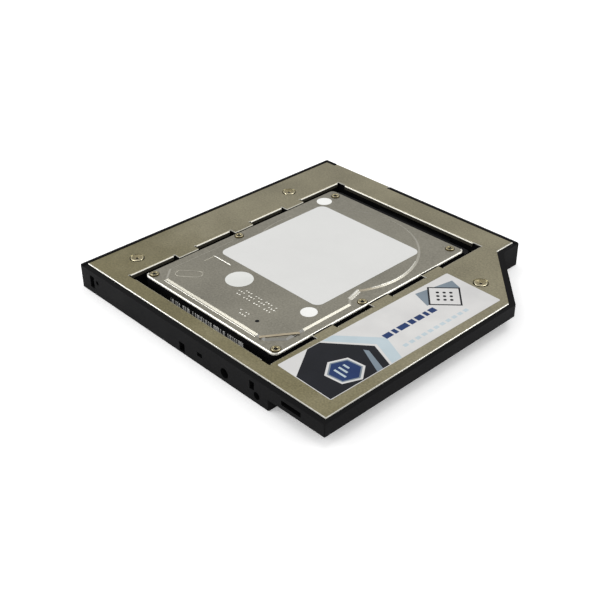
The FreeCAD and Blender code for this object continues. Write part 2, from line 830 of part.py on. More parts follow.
def side_flanges(body):
    """Flanges along each side, with a relief notch at both ends of each."""
    lands = land_spans()
    fronts = ["window_front"] + [rear for front, rear in lands]
    rears = [front for front, rear in lands] + ["window_rear"]
    for edge, sign in (("window_left", "+"), ("window_right", "-")):
        for front, rear in zip(fronts, rears):
            profile = sketch_on(body, "XZ_Plane", f"-({front} + relief_length)")
            flange_profile(profile, edge, sign)
            pad(body, profile, f"({rear}) - ({front}) - 2 * relief_length", backwards=True)


def end_flanges(body):
    """One flange across the window's front and one across its rear."""
    for edge, sign in (("window_front", "+"), ("window_rear", "-")):
        profile = sketch_on(body, "YZ_Plane", "window_left + end_relief")
        flange_profile(profile, edge, sign)
        pad(body, profile, "window_width - 2 * end_relief")


def make_top_cover():
    body = new_body("top_cover")
    sheet = sketch_on(body, "XY_Plane", "frame_top")
    cover_outline(sheet, "0", "host_rear")
    pad(body, sheet, "sheet_thickness")
    window = sketch_on(body, "XY_Plane", "frame_top")
    window_outline(window, "window_left", "window_front", "window_right", "window_rear")
    pocket(body, window, "sheet_thickness")
    side_flanges(body)
    end_flanges(body)
    centres = cover_screw_centres()
    discs(body, centres, "dimple_outer", "dimple_under", "frame_top")
    drill(body, centres, "dimple_width", "dimple_floor", "sheet_top")
    drill(body, centres, "cover_shank + 2 * screw_fit", "dimple_under", "sheet_top")
    return body


def cross_recess(body, centres, length, low, high):
    """Cut a cross into screw heads, between two levels."""
    sketch = sketch_on(body, "XY_Plane", low)
    arm, half = f"{length} / 2", "cross_width / 2"
    steps = [(arm, half), (half, half), (half, arm), (f"-{half}", arm), (f"-{half}", half),
             (f"-{arm}", half), (f"-{arm}", f"-{half}"), (f"-{half}", f"-{half}"),
             (f"-{half}", f"-{arm}"), (half, f"-{arm}"), (half, f"-{half}"), (arm, f"-{half}")]
    for across, along in centres:
        outline(sketch, [(f"{across} + ({x})", f"{along} + ({y})") for x, y in steps])
    pocket(body, sketch, f"({high}) - ({low})")


def make_cover_screws():
    """Low cylinder-head screws, each with a cross recess."""
    body = new_body("cover_screws")
    centres = cover_screw_centres()
    top = "dimple_floor + cover_head_height"
    discs(body, centres, "cover_head", "dimple_floor", top)
    discs(body, centres, "cover_shank", "dimple_floor - cover_screw_length", "dimple_floor")
    cross_recess(body, centres, "cross_length", f"{top} - cover_cross_depth", top)
    return body


# Bottom plate

def make_bottom_plate():
    """Thin plate whose ledges carry the disk, held by four tabs bent up and over the floor."""
    body = new_body("bottom_plate")
    block(body, ("frame_rim", "frame_rim", "step_x - frame_rim", "bay_depth - frame_rim"),
          "0", "plate_thickness")
    lanced = sketch_on(body, "XY_Plane", "0")
    leaves = sketch_on(body, "XY_Plane", "0")
    lips = sketch_on(body, "XY_Plane", "floor_top")
    for across, along in tab_roots():
        left, right = f"{across} - tab_width / 2", f"{across} + tab_width / 2"
        rear = f"{along} + plate_thickness"
        rectangle(lanced, left, rear, right, f"{rear} + tab_length")
        rectangle(leaves, left, along, right, rear)
        rectangle(lips, left, along, right, f"{rear} + tab_lip")
    pocket(body, lanced, "plate_thickness")
    pad(body, leaves, "tab_top")
    pad(body, lips, "plate_thickness")
    cut_block(body, ("drive_left + plate_ledge", "drive_front + plate_ledge_front",
                     "drive_right - plate_ledge", "drive_rear - plate_ledge_rear"),
              "0", "plate_thickness")
    front_pair = mount_hole_centres()[::2]
    drill(body, front_pair, "mount_clear_hole", "0", "plate_thickness")
    return body


# Adapter board and its connectors

def make_adapter_board():
    body = new_body("adapter_board")
    block(body, ("board_left", "board_front", "board_right", "board_rear"), "board_bottom", "board_top")
    drill(body, [("board_screw_x", "board_middle")], "board_shank + 2 * screw_fit",
          "board_bottom", "board_top")
    return body


def make_board_screw():
    body = new_body("board_screw")
    centre = [("board_screw_x", "board_middle")]
    top = "board_top + board_head_height"
    discs(body, centre, "board_head", "board_top", top)
    discs(body, centre, "board_shank", "board_top - board_screw_length", "board_top")
    cross_recess(body, centre, "board_cross", f"{top} - board_cross_depth", top)
    return body


def make_board_capacitors():
    body = new_body("board_capacitors")
    sketch = sketch_on(body, "XY_Plane", "board_top")
    first = "nose_right + chip_pitch - chip_width / 2"
    rectangle(sketch, first, "board_middle - chip_length / 2", f"{first} + chip_width",
              "board_middle + chip_length / 2")
    row_along_x(body, pad(body, sketch, "chip_height"), "chips", "chip_pitch")
    return body


def key_tongue(left, width, grow, low, high):
    """Corners of an L-shaped tongue section, grown by a running gap."""
    right = f"{left} + {width}"
    foot = f"({low}) - tongue_key"
    return [(f"{left} - {grow}", f"{low} - {grow}"),
            (f"{right} - tongue_key_width - {grow}", f"{low} - {grow}"),
            (f"{right} - tongue_key_width - {grow}", f"{foot} - {grow}"),
            (f"{right} + {grow}", f"{foot} - {grow}"),
            (f"{right} + {grow}", f"{high} + {grow}"),
            (f"{left} - {grow}", f"{high} + {grow}")]


def disk_tongues():
    return [("socket_left", "signal_tongue"), ("power_left", "power_tongue")]


def make_drive_socket():
    """Socket with a nose that reaches into the disk's plug and two keyed slots."""
    body = new_body("drive_socket")
    block(body, ("nose_left", "nose_front", "nose_right", "socket_rear"), "nose_low", "nose_high")
    block(body, ("nose_left", "board_front", "nose_right", "socket_rear"), "board_top", "nose_high")
    slots = sketch_on(body, "XZ_Plane", "-nose_front")
    channels = sketch_on(body, "XZ_Plane", "-nose_front")
    for left, width in disk_tongues():
        outline(slots, key_tongue(left, width, "tongue_gap", "tongue_low", "tongue_high"))
        rectangle(channels, left, "slot_low", f"{left} + {width} - tongue_key_width - tongue_gap",
                  "slot_low + contact_thickness")
    pocket(body, slots, "nose_length + tongue_gap", backwards=False)
    pocket(body, channels, "socket_rear - nose_front + over_cut", backwards=False)
    return body


def contact_row(body, left, count, front, rear, low, high):
    """Flat contact strips side by side at the connector's pitch."""
    sketch = sketch_on(body, "XY_Plane", low)
    first = f"{left} + contact_first"
    rectangle(sketch, first, front, f"{first} + contact_width", rear)
    row_along_x(body, pad(body, sketch, f"({high}) - ({low})"), count, "contact_pitch")


def make_socket_contacts():
    """Strips in the socket's slots, each with a tail that bends down to the board."""
    body = new_body("socket_contacts")
    rear = "socket_rear + contact_thickness"
    top = "slot_low + contact_thickness"
    for left, count in (("socket_left", "signal_contacts"), ("power_left", "power_contacts")):
        contact_row(body, left, count, "nose_front + tongue_gap", rear, "slot_low", top)
        contact_row(body, left, count, "socket_rear", rear, "board_top", top)
    return body


def make_host_plug():
    """Plug at the rear wall: a shell open to the rear round two keyed tongues."""
    body = new_body("host_plug")
    block(body, ("host_left", "host_front", "host_right", "host_rear"), "board_top", "host_high")
    mouth = sketch_on(body, "XZ_Plane", "-host_back")
    rectangle(mouth, "host_left + host_wall", "board_top + host_wall",
              "host_right - host_wall", "host_high - host_wall")
    pocket(body, mouth, "host_rear - host_back + over_cut", backwards=False)
    tongues = sketch_on(body, "XZ_Plane", "-(host_back - plug_back / 2)")
    for left, width in (("host_signal_left", "signal_tongue"), ("host_power_left", "slim_tongue")):
        outline(tongues, key_tongue(left, width, "0", "host_tongue_low", "host_tongue_high"))
    pad(body, tongues, "host_rear - host_back + plug_back / 2 - tongue_inset", backwards=True)
    return body


def make_host_contacts():
    body = new_body("host_contacts")
    for left, count in (("host_signal_left", "signal_contacts"), ("host_power_left", "slim_contacts")):
        contact_row(body, left, count, "host_back", "host_rear - contact_inset",
                    "host_tongue_low - contact_thickness", "host_tongue_low")
    return body


def slanting_corners(centre_x, centre_y, length, width, angle):
    """Corners of a rectangle turned about its centre, anticlockwise in degrees."""
    corners = []
    for end, side in ((-1, -1), (1, -1), (1, 1), (-1, 1)):
        along = f"({end} * {length} / 2)"
        across = f"({side} * {width} / 2)"
        corners.append((f"{centre_x} + {along} * cos({angle} * 1deg) - {across} * sin({angle} * 1deg)",
                        f"{centre_y} + {along} * sin({angle} * 1deg) + {across} * cos({angle} * 1deg)"))
    return corners


def make_cover_label():
    """Sticker on the shelf side of the cover, put on slightly askew."""
    body = new_body("cover_label")
    sketch = sketch_on(body, "XY_Plane", "sheet_top")
    outline(sketch, slanting_corners("sticker_x", "sticker_y", "sticker_width", "sticker_length",
                                     "-sticker_turn"))
    pad(body, sketch, "label_thickness")
    return body


# Disk housing

def make_drive_base():
    """Cast housing, with room below for the board, the plug and the motor."""
    body = new_body("drive_base")
    housing = block(body, ("drive_left", "drive_front", "drive_right", "drive_rear"),
                    "drive_bottom", "base_top")
    fillet(body, housing, upright_edges(housing), "drive_corner")
    cut_block(body, ("drive_left", "cover_rear", "drive_right", "drive_rear"),
              "base_top - rear_step", "base_top")
    gap = "drive_board_gap"
    cut_block(body, (f"disk_board_left - {gap}", f"disk_board_front - {gap}",
                     f"disk_board_right + {gap}", "drive_rear"), "drive_bottom", "disk_board_top")
    cut_block(body, ("plug_left - plug_fit", "plug_front - plug_fit", "plug_right + plug_fit",
                     "drive_rear"), "drive_bottom", "plug_high + plug_fit")
    drill(body, [("platter_cx", "platter_cy")], "motor_diameter + 2 * motor_gap",
          "drive_bottom", "motor_top")
    drill(body, mount_hole_centres(), "mount_hole", "drive_bottom", "drive_bottom + mount_hole_depth")
    side_mount_holes(body)
    return body


def side_mount_holes(body):
    for level, backwards in (("drive_left", True), ("drive_right", False)):
        sketch = sketch_on(body, "YZ_Plane", level)
        for along in mount_hole_rows():
            circle(sketch, along, "drive_bottom + mount_hole_height", "mount_hole")
        pocket(body, sketch, "side_hole_depth", backwards=backwards)


def make_cover_gasket():
    body = new_body("cover_gasket")
    inner = "(gasket_inset + gasket_width)"
    block(body, ("drive_left + gasket_inset", "cover_front + gasket_inset",
                 "drive_right - gasket_inset", "cover_rear - gasket_inset"),
          "base_top", "cover_bottom")
    cut_block(body, (f"drive_left + {inner}", f"cover_front + {inner}",
                     f"drive_right - {inner}", f"cover_rear - {inner}"), "base_top", "cover_bottom")
    return body


def relief_corners():
    """Raised part of the cover: a front field with cut corners and the ring over the platter."""
    left, right = "drive_left + relief_side", "drive_right - relief_side"
    notch_left = f"{left} + relief_notch_depth"
    notch_right = f"{right} - relief_notch_depth"
    front = "cover_front + relief_front"
    corner_y = "drive_front + relief_corner_y"
    notch_y = "drive_front + relief_notch_y"
    reach = "platter_radius * sqrt(3) / 2"
    low = "platter_cy - platter_radius / 2"
    return [
        ("drive_left + relief_corner_x", front), ("drive_right - relief_corner_x", front),
        (right, corner_y), (right, notch_y), (notch_right, f"{notch_y} + relief_notch_depth"),
        (f"platter_cx + {reach}", low),
        ("platter_cx", "platter_cy + platter_radius", "platter_cx", "platter_cy"),
        (f"platter_cx - {reach}", low, "platter_cx", "platter_cy"),
        (notch_left, f"{notch_y} + relief_notch_depth"), (left, notch_y), (left, corner_y)]


def cover_stamps(body):
    """Two shallow stamped fields and the breather hole."""
    cut_block(body, ("drive_left + stamp_x", "drive_front + stamp_y",
                     "drive_left + stamp_x + stamp_width", "drive_front + stamp_y + stamp_height"),
              "drive_top - stamp_depth", "drive_top")
    sketch = sketch_on(body, "XY_Plane", "drive_top - slant_depth")
    outline(sketch, slanting_corners("drive_left + slant_x", "drive_front + slant_y", "slant_length",
                                     "slant_width", "slant_angle"))
    pocket(body, sketch, "slant_depth")
    drill(body, [("drive_right - breather_right", "drive_front + breather_front")], "breather",
          "cover_bottom", "drive_top")


def make_drive_cover():
    """Stamped plate with a raised field and its screws' heads, which carry six-sided recesses."""
    body = new_body("drive_cover")
    plate = block(body, ("drive_left", "cover_front", "drive_right", "cover_rear"),
                  "cover_bottom", "rim_top")
    rounded = fillet(body, plate, upright_edges(plate), "drive_corner")
    bevel(body, rounded, edges_at_level(rounded, "rim_top"), "rim_bevel")
    relief = sketch_on(body, "XY_Plane", "rim_top")
    outline(relief, relief_corners())
    pad(body, relief, "relief_height", taper="-relief_slope")
    discs(body, disk_screw_centres(), "disk_head", "rim_top", "disk_head_top")
    six_sided_holes(body, disk_screw_centres(), "star_width", "disk_head_top - star_depth",
                    "disk_head_top")
    cover_stamps(body)
    return body


def make_drive_label():
    body = new_body("drive_label")
    paper = block(body, ("drive_left + drive_label_left", "drive_front + drive_label_front",
                         "drive_right - drive_label_right", "cover_rear - drive_label_rear"),
                  "drive_top", "drive_top + label_thickness")
    fillet(body, paper, upright_edges(paper), "drive_label_corner")
    return body


def make_seal(label, centre, level):
    """Round foil seal whose diameter is the size of the same name."""
    body = new_body(label)
    discs(body, [centre], label, level, f"{level} + label_thickness")
    return body


def make_seals():
    large = ("drive_left + seal_large_left", "drive_front + seal_large_front")
    right = ("drive_right - seal_right_side", "drive_front + seal_right_front")
    rear = ("drive_left + seal_rear_left", "cover_rear - seal_rear_back")
    return [make_seal("seal_large", large, "drive_top"), make_seal("seal_right", right, "drive_top"),
            make_seal("seal_rear", rear, "rim_top")]


def make_end_label():
    """Label on the disk's front end."""
    body = new_body("end_label")
    sketch = sketch_on(body, "XZ_Plane", "-drive_front")
    low = "drive_bottom + end_label_z"
    rectangle(sketch, "drive_left + end_label_left", low, "drive_right - end_label_right",
              f"{low} + end_label_height")
    pad(body, sketch, "label_thickness")
    return body


def make_drive_board():
    """Circuit board under the disk, with a round opening for the motor."""
    body = new_body("drive_board")
    block(body, ("disk_board_left", "disk_board_front", "disk_board_right", "drive_rear - plug_back"),
          "disk_board_bottom", "disk_board_top")
    drill(body, [("platter_cx", "platter_cy")], "motor_diameter + 4 * motor_gap",
          "disk_board_bottom", "disk_board_top")
    return body


def make_spindle_motor():
    """Turned motor base with a raised hub, seen from below through the board."""
    body = new_body("spindle_motor")
    sketch = sketch_on(body, "XZ_Plane", "-platter_cy")
    low, step = "drive_bottom + motor_level", "drive_bottom + motor_level + motor_step"
    outline(sketch, [
        ("platter_cx", low), ("platter_cx + motor_hub / 2", low),
        ("platter_cx + motor_hub / 2", step), ("platter_cx + motor_diameter / 2", step),
        ("platter_cx + motor_diameter / 2", "motor_top"), ("platter_cx", "motor_top")])
    turned = body.newObject("PartDesign::Revolution", "Revolution")
    turned.Profile = (sketch, [""])
    turned.ReferenceAxis = (sketch, ["Edge1"])
    turned.Angle = 360
    sketch.Visibility = False
    return body


def make_drive_plug():
    """Plug at the disk's rear: a shell round two keyed tongues."""
    body = new_body("drive_plug")
    block(body, ("plug_left", "plug_front", "plug_right", "drive_rear"), "plug_low", "plug_high")
    mouth = sketch_on(body, "XZ_Plane", "-plug_mouth")
    rectangle(mouth, "nose_left - nose_gap", "nose_low - nose_gap",
              "nose_right + nose_gap", "nose_high + nose_gap")
    pocket(body, mouth, "drive_rear - plug_mouth + over_cut", backwards=False)
    tongues = sketch_on(body, "XZ_Plane", "-(plug_mouth - plug_back / 2)")
    for left, width in disk_tongues():
        outline(tongues, key_tongue(left, width, "0", "tongue_low", "tongue_high"))
    pad(body, tongues, "drive_rear - plug_mouth + plug_back / 2 - tongue_inset", backwards=True)
    return body


def make_plug_contacts():
    body = new_body("plug_contacts")
    for left, count in (("socket_left", "signal_contacts"), ("power_left", "power_contacts")):
        contact_row(body, left, count, "plug_mouth", "drive_rear - contact_inset",
                    "tongue_low - contact_thickness / 2", "tongue_low")
    return body


def check_build(doc, bodies):
    """Stop if any object failed, any cut removed nothing or any sub-part is not a sound solid."""
    for item in doc.Objects:
        if any(word in item.State for word in ("Invalid", "Error")):
            raise RuntimeError(f"{item.Name} failed: {item.State}")
        if item.TypeId in ("PartDesign::Pocket", "PartDesign::Groove"):
            if item.Shape.Volume > item.BaseFeature.Shape.Volume - 1e-6:
                raise RuntimeError(f"{item.Name} in {item.getParentGeoFeatureGroup().Label} cut nothing")
    for body in bodies:
        if body.Shape.isNull() or not body.Shape.isValid():
            raise RuntimeError(f"{body.Label} is not a sound solid")


def main():
    doc = FreeCAD.newDocument("drive_bay_adapter")
    make_sheet(doc)
    bodies = [
        make_frame(), make_top_cover(), make_cover_screws(), make_bottom_plate(),
        make_adapter_board(), make_board_screw(), make_board_capacitors(), make_drive_socket(),
        make_socket_contacts(), make_host_plug(), make_host_contacts(), make_cover_label(),
        make_drive_base(), make_cover_gasket(), make_drive_cover(), make_drive_label(),
        *make_seals(), make_end_label(), make_drive_board(), make_spindle_motor(),
        make_drive_plug(), make_plug_contacts()]
    doc.recompute()
    check_build(doc, bodies)
    os.makedirs("parts", exist_ok=True)
    for body in bodies:
        body.Shape.exportStep(f"parts/{body.Label}.step")
        solids = len(body.Shape.Solids)
        print(f"{body.Label}: {solids} solids, {body.Shape.Volume:.1f} cubic mm")


main()
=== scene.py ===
import math

import bmesh
import bpy
from mathutils import Matrix, Vector


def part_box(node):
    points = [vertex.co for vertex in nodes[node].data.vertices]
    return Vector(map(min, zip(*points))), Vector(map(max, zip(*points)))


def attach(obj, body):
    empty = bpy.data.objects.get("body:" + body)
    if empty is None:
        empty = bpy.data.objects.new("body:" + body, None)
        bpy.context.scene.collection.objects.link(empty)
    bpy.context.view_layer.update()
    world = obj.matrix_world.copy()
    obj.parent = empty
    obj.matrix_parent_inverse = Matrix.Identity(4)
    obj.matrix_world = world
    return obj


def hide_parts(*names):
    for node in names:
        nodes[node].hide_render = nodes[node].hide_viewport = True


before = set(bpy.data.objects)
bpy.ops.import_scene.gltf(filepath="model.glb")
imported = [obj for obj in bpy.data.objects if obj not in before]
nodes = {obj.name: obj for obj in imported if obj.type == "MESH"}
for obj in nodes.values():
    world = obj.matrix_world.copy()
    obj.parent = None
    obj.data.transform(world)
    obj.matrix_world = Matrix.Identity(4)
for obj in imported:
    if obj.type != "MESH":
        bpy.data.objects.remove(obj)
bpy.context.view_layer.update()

# Places and sizes on the object are in millimetres from the frame's left front bottom corner, as the
# CAD's are, and place() turns them into metres in the row frame. Lengths in shader nodes and in the
# studio are in metres.
MM = 0.001
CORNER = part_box("frame")[0]


def place(x, y, z):
    return Vector((CORNER[0] + x * MM, CORNER[1] + y * MM, CORNER[2] + z * MM))


def box_mm(node_name):
    """Give a node's low and high corner in millimetres."""
    return [[(corner[axis] - CORNER[axis]) / MM for axis in range(3)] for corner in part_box(node_name)]


DISK_LEFT, DISK_FRONT = box_mm("drive_cover")[0][:2]
DISK_RIGHT = box_mm("drive_cover")[1][0]
DISK_TOP = box_mm("drive_cover")[1][2]
RIM_TOP = box_mm("seal_rear")[0][2]
SHEET_FRONT = box_mm("top_cover")[0][1]
SHEET_RIGHT = box_mm("top_cover")[1][0]
SHEET_TOP = box_mm("top_cover")[1][2]
FRAME_REAR = box_mm("frame")[1][1]
BOARD_LEFT, BOARD_FRONT, BOARD_LOW = box_mm("drive_board")[0]
BOARD_RIGHT, BOARD_REAR = box_mm("drive_board")[1][:2]
STICKER_LEFT, STICKER_FRONT, STICKER_LOW = box_mm("cover_label")[0]
STICKER_RIGHT, STICKER_REAR, STICKER_TOP = box_mm("cover_label")[1]

# The raised field of the disk's cover: its distance from the front and from each side, and the left
# and rear bounds of the front right corner where its slopes get a dark painted shade
RELIEF_FRONT, RELIEF_SIDE = 3.0, 3.3
CORNER_LEFT, CORNER_REAR = DISK_RIGHT - 12.3, DISK_FRONT + 16.4


# Materials

def linear(red, green, blue):
    """Colour of 0 to 255 screen values, in the shader's own units."""
    def step(level):
        level /= 255
        return level / 12.92 if level <= 0.04045 else ((level + 0.055) / 1.055) ** 2.4
    return (step(red), step(green), step(blue), 1.0)


def link_or_set(tree, socket, given):
    if isinstance(given, bpy.types.NodeSocket):
        tree.links.new(given, socket)
    else:
        socket.default_value = given


def add(tree, kind, inputs=None, **settings):
    """Add a shader node; inputs maps socket names to numbers, colours or other nodes' sockets."""
    node = tree.nodes.new(kind)
    for name, setting in settings.items():
        setattr(node, name, setting)
    for name, given in (inputs or {}).items():
        link_or_set(tree, node.inputs[name], given)
    return node


def start_material(name):
    material = bpy.data.materials.new(name)
    material.use_nodes = True
    material.node_tree.nodes.clear()
    return material, material.node_tree


def finish_material(material, tree, inputs):
    shader = add(tree, "ShaderNodeBsdfPrincipled", inputs)
    output = add(tree, "ShaderNodeOutputMaterial")
    tree.links.new(shader.outputs["BSDF"], output.inputs["Surface"])
    return material


def object_point(tree):
    return add(tree, "ShaderNodeTexCoord").outputs["Object"]


def noise(tree, point, scale, detail=4.0, roughness=0.55):
    return add(tree, "ShaderNodeTexNoise", {
        "Vector": point, "Scale": scale, "Detail": detail, "Roughness": roughness}).outputs["Fac"]


def between(tree, factor, low, high, from_low=0.3, from_high=0.7):
    """Number that goes from low to high as the factor crosses its range."""
    return add(tree, "ShaderNodeMapRange", {
        "Value": factor, "From Min": from_low, "From Max": from_high,
        "To Min": low, "To Max": high}).outputs["Result"]


# Places of the colour sockets on a Mix node
MIX_FIRST, MIX_SECOND, MIX_RESULT = 6, 7, 2


def mix(tree, factor, first, second):
    node = add(tree, "ShaderNodeMix", {"Factor": factor}, data_type="RGBA")
    link_or_set(tree, node.inputs[MIX_FIRST], first)
    link_or_set(tree, node.inputs[MIX_SECOND], second)
    return node.outputs[MIX_RESULT]


def calculate(tree, operation, first, second=0.0):
    node = add(tree, "ShaderNodeMath", operation=operation)
    link_or_set(tree, node.inputs[0], first)
    link_or_set(tree, node.inputs[1], second)
    return node.outputs["Value"]


def bump(tree, height, strength, distance):
    return add(tree, "ShaderNodeBump", {
        "Height": height, "Strength": strength, "Distance": distance}).outputs["Normal"]


def flatness(tree, low=0.55, high=0.98):
    """1 where a surface lies flat and 0 where it stands up, such as a cut edge or a flange."""
    normal = add(tree, "ShaderNodeNewGeometry").outputs["Normal"]
    upward = add(tree, "ShaderNodeSeparateXYZ", {"Vector": normal}).outputs["Z"]
    return between(tree, calculate(tree, "ABSOLUTE", upward), 0.0, 1.0, low, high)


def diagonal(tree):
    """1 on gentle slopes that face the front right corner, where a tan painted shade goes, and 0 on all
    other faces.
    """
    normal = add(tree, "ShaderNodeNewGeometry").outputs["Normal"]
    parts = add(tree, "ShaderNodeSeparateXYZ", {"Vector": normal}).outputs
    lean = calculate(tree, "SUBTRACT", parts["X"], parts["Y"])
    return calculate(tree, "MULTIPLY", between(tree, lean, 0.0, 1.0, 0.5, 0.56),
                     between(tree, lean, 1.0, 0.0, 0.64, 0.72))


def shaded_corner_slopes(tree, parts, left, rear):
    """1 on gentle slopes within the front right corner's left and rear bounds, where a dark painted shade
    goes, and 0 elsewhere.
    """
    limit = place(left, rear, 0.0)
    inside = calculate(tree, "MULTIPLY", calculate(tree, "GREATER_THAN", parts["X"], limit.x),
                       calculate(tree, "LESS_THAN", parts["Y"], limit.y))
    slope = calculate(tree, "MULTIPLY", flatness(tree, 0.8, 0.85),
                      calculate(tree, "SUBTRACT", 1.0, flatness(tree, 0.94, 0.97)))
    return calculate(tree, "MULTIPLY", inside, slope)


def sheet_metal(name, near, far, edge, gloss=(0.36, 0.46), spread=0.5, edge_low=0.0, corner=None):
    """Plated sheet, a little browner toward the front, with fine flecks.

    Upright faces above the level edge_low get the edge colour as a painted highlight on the cut edges, and
    those below it get a painted shade.
    Gentle slopes toward the front right corner get a tan painted shade, and within the corner's bounds a
    dark painted shade that takes away their metal shine.
    """
    material, tree = start_material(name)
    point = object_point(tree)
    parts = add(tree, "ShaderNodeSeparateXYZ", {"Vector": point}).outputs
    along = parts["Y"]
    level = place(0.0, 0.0, edge_low).z
    # Upright faces above edge_low take the painted highlight, and those below it the painted shade
    lit = between(tree, parts["Z"], 0.0, 1.0, level - 0.1 * MM, level + 0.1 * MM)
    flat = flatness(tree)
    cloud = noise(tree, point, 40.0, 3.0)
    fleck = noise(tree, point, 1500.0, 2.0)
    reach = calculate(tree, "ADD", along, between(tree, cloud, -0.02, 0.02))
    tone = mix(tree, between(tree, reach, 0.0, 1.0, -0.06, 0.0), near, far)
    shade = calculate(tree, "ADD", calculate(tree, "MULTIPLY", cloud, 0.45),
                      calculate(tree, "MULTIPLY", fleck, 0.55))
    darker = mix(tree, between(tree, shade, spread, 0.0), tone, (0.0, 0.0, 0.0, 1.0))
    # Painted shade: slopes that face the front right corner turn tan
    tinted = mix(tree, diagonal(tree), darker, SLOPE_SHADE_TAN)
    shine = between(tree, flat, 0.35, 1.0, 0.0, 1.0)
    # Painted shade: slopes in the front right corner turn dark and lose their metal shine
    if corner:
        dull = shaded_corner_slopes(tree, parts, *corner)
        tinted = mix(tree, dull, tinted, CORNER_SLOPE_SHADE)
        shine = calculate(tree, "MULTIPLY", shine, calculate(tree, "SUBTRACT", 1.0, dull))
    return finish_material(material, tree, {
        "Base Color": mix(tree, flat, mix(tree, lit, PAINTED_SHADE_METAL, edge), tinted),
        "Metallic": shine,
        "Roughness": between(tree, fleck, *gloss),
        "Normal": bump(tree, fleck, 0.2, 0.00001)})


def moulded(name, dark, light, gloss=(0.45, 0.6), scale=2600.0, shine=0.06):
    """Moulded plastic or cast metal under matt paint, with a fine grain."""
    material, tree = start_material(name)
    point = object_point(tree)
    cloud = noise(tree, point, 70.0)
    return finish_material(material, tree, {
        "Base Color": mix(tree, between(tree, cloud, 0.0, 1.0), dark, light),
        "Roughness": between(tree, cloud, *gloss),
        "Specular IOR Level": shine,
        "Normal": bump(tree, noise(tree, point, scale, 3.0), 0.3, 0.00002)})


def paper(name, dark, light, roughness=(0.55, 0.7), shine=0.3):
    material, tree = start_material(name)
    point = object_point(tree)
    fibre = noise(tree, point, 3200.0, 5.0, 0.7)
    cloud = noise(tree, point, 60.0, 3.0)
    return finish_material(material, tree, {
        "Base Color": mix(tree, between(tree, cloud, 0.0, 1.0), dark, light),
        "Roughness": between(tree, fibre, *roughness),
        "Specular IOR Level": shine,
        "Normal": bump(tree, fibre, 0.12, 0.000008)})


def striped_paper(name, ground, ink, pitch):
    """Label with upright bars whose widths vary."""
    material, tree = start_material(name)
    point = object_point(tree)
    across = add(tree, "ShaderNodeSeparateXYZ", {"Vector": point}).outputs["X"]
    cell = calculate(tree, "FLOOR", calculate(tree, "DIVIDE", across, pitch))
    chance = add(tree, "ShaderNodeTexWhiteNoise", {"W": cell}, noise_dimensions="1D").outputs["Value"]
    bar = calculate(tree, "GREATER_THAN", chance, 0.55)
    return finish_material(material, tree, {
        "Base Color": mix(tree, bar, ground, ink),
        "Roughness": between(tree, noise(tree, point, 2500.0), 0.5, 0.65)})


def circuit(name, mask, trace):
    """Solder mask with faint tracks under it."""
    material, tree = start_material(name)
    point = object_point(tree)
    cells = add(tree, "ShaderNodeTexVoronoi", {"Vector": point, "Scale": 420.0},
                feature="F1", distance="MANHATTAN").outputs["Distance"]
    line = between(tree, cells, 1.0, 0.0, 0.3, 0.4)
    return finish_material(material, tree, {
        "Base Color": mix(tree, line, mask, trace),
        "Roughness": between(tree, noise(tree, point, 900.0), 0.25, 0.4),
        "Normal": bump(tree, line, 0.4, 0.00002)})


def metal(name, dark, light, gloss=(0.22, 0.34), scale=500.0):
    material, tree = start_material(name)
    point = object_point(tree)
    cloud = noise(tree, point, scale)
    return finish_material(material, tree, {
        "Base Color": mix(tree, between(tree, cloud, 0.0, 1.0), dark, light),
        "Metallic": 1.0,
        "Roughness": between(tree, cloud, *gloss),
        "Normal": bump(tree, noise(tree, point, scale * 6, 2.0), 0.15, 0.00001)})


# Painted shade for the upright faces of sheet metal below their highlight level
PAINTED_SHADE_METAL = linear(70, 67, 58)
# Tan painted shade for slopes that face the front right corner
SLOPE_SHADE_TAN = linear(122, 110, 84)
# Dark painted shade for slopes in the disk cover's front right corner
CORNER_SLOPE_SHADE = linear(54, 52, 46)
# Near-white painted highlight for the cut edges of sheet metal
EDGE_HIGHLIGHT_WHITE = linear(252, 250, 240)
BLACK_PLASTIC = moulded("black_plastic", linear(13, 13, 14), linear(18, 18, 19), shine=0.04)
COVER_STEEL = sheet_metal("cover_steel", linear(152, 144, 110), linear(168, 161, 135), EDGE_HIGHLIGHT_WHITE,
                          edge_low=9.0)
# The bottom plate's upright faces get a pale painted highlight
PLATE_STEEL = sheet_metal("plate_steel", linear(145, 141, 130), linear(150, 147, 138),
                          linear(225, 223, 215))
# Every upright face of the disk's cover gets the near-white painted highlight
DISK_STEEL = sheet_metal("disk_steel", linear(165, 161, 147), linear(165, 161, 147), EDGE_HIGHLIGHT_WHITE,
                         gloss=(0.32, 0.4), spread=0.4, corner=(CORNER_LEFT, CORNER_REAR))
# Near-white steel for painted highlights on beads and pips
HIGHLIGHT_STEEL = metal("highlight_steel", linear(225, 222, 210), linear(248, 246, 238), (0.2, 0.3))
# Light steel for a soft painted highlight round the slanting stamped field
SOFT_HIGHLIGHT_STEEL = metal("soft_highlight_steel", linear(176, 172, 158), linear(196, 192, 178), (0.3, 0.4))
# Light tan painted highlight and dark painted shade for the fold across the disk cover's corner
FOLD_HIGHLIGHT_TAN = metal("fold_highlight_tan", linear(186, 173, 148), linear(196, 184, 159), (0.34, 0.42))
CREASE_SHADE_BROWN = metal("crease_shade_brown", linear(50, 44, 30), linear(66, 58, 40), (0.5, 0.6))
SCREW_ZINC = metal("screw_zinc", linear(138, 128, 98), linear(168, 157, 124), (0.22, 0.32), 900.0)
# Light copy of the screw metal, a painted highlight on the cover screws' rims
RIM_HIGHLIGHT = metal("rim_highlight", linear(196, 187, 154), linear(222, 214, 184), (0.2, 0.3), 900.0)
DISK_SCREW_ZINC = metal("disk_screw_zinc", linear(120, 112, 86), linear(150, 141, 112), (0.26, 0.36), 900.0)
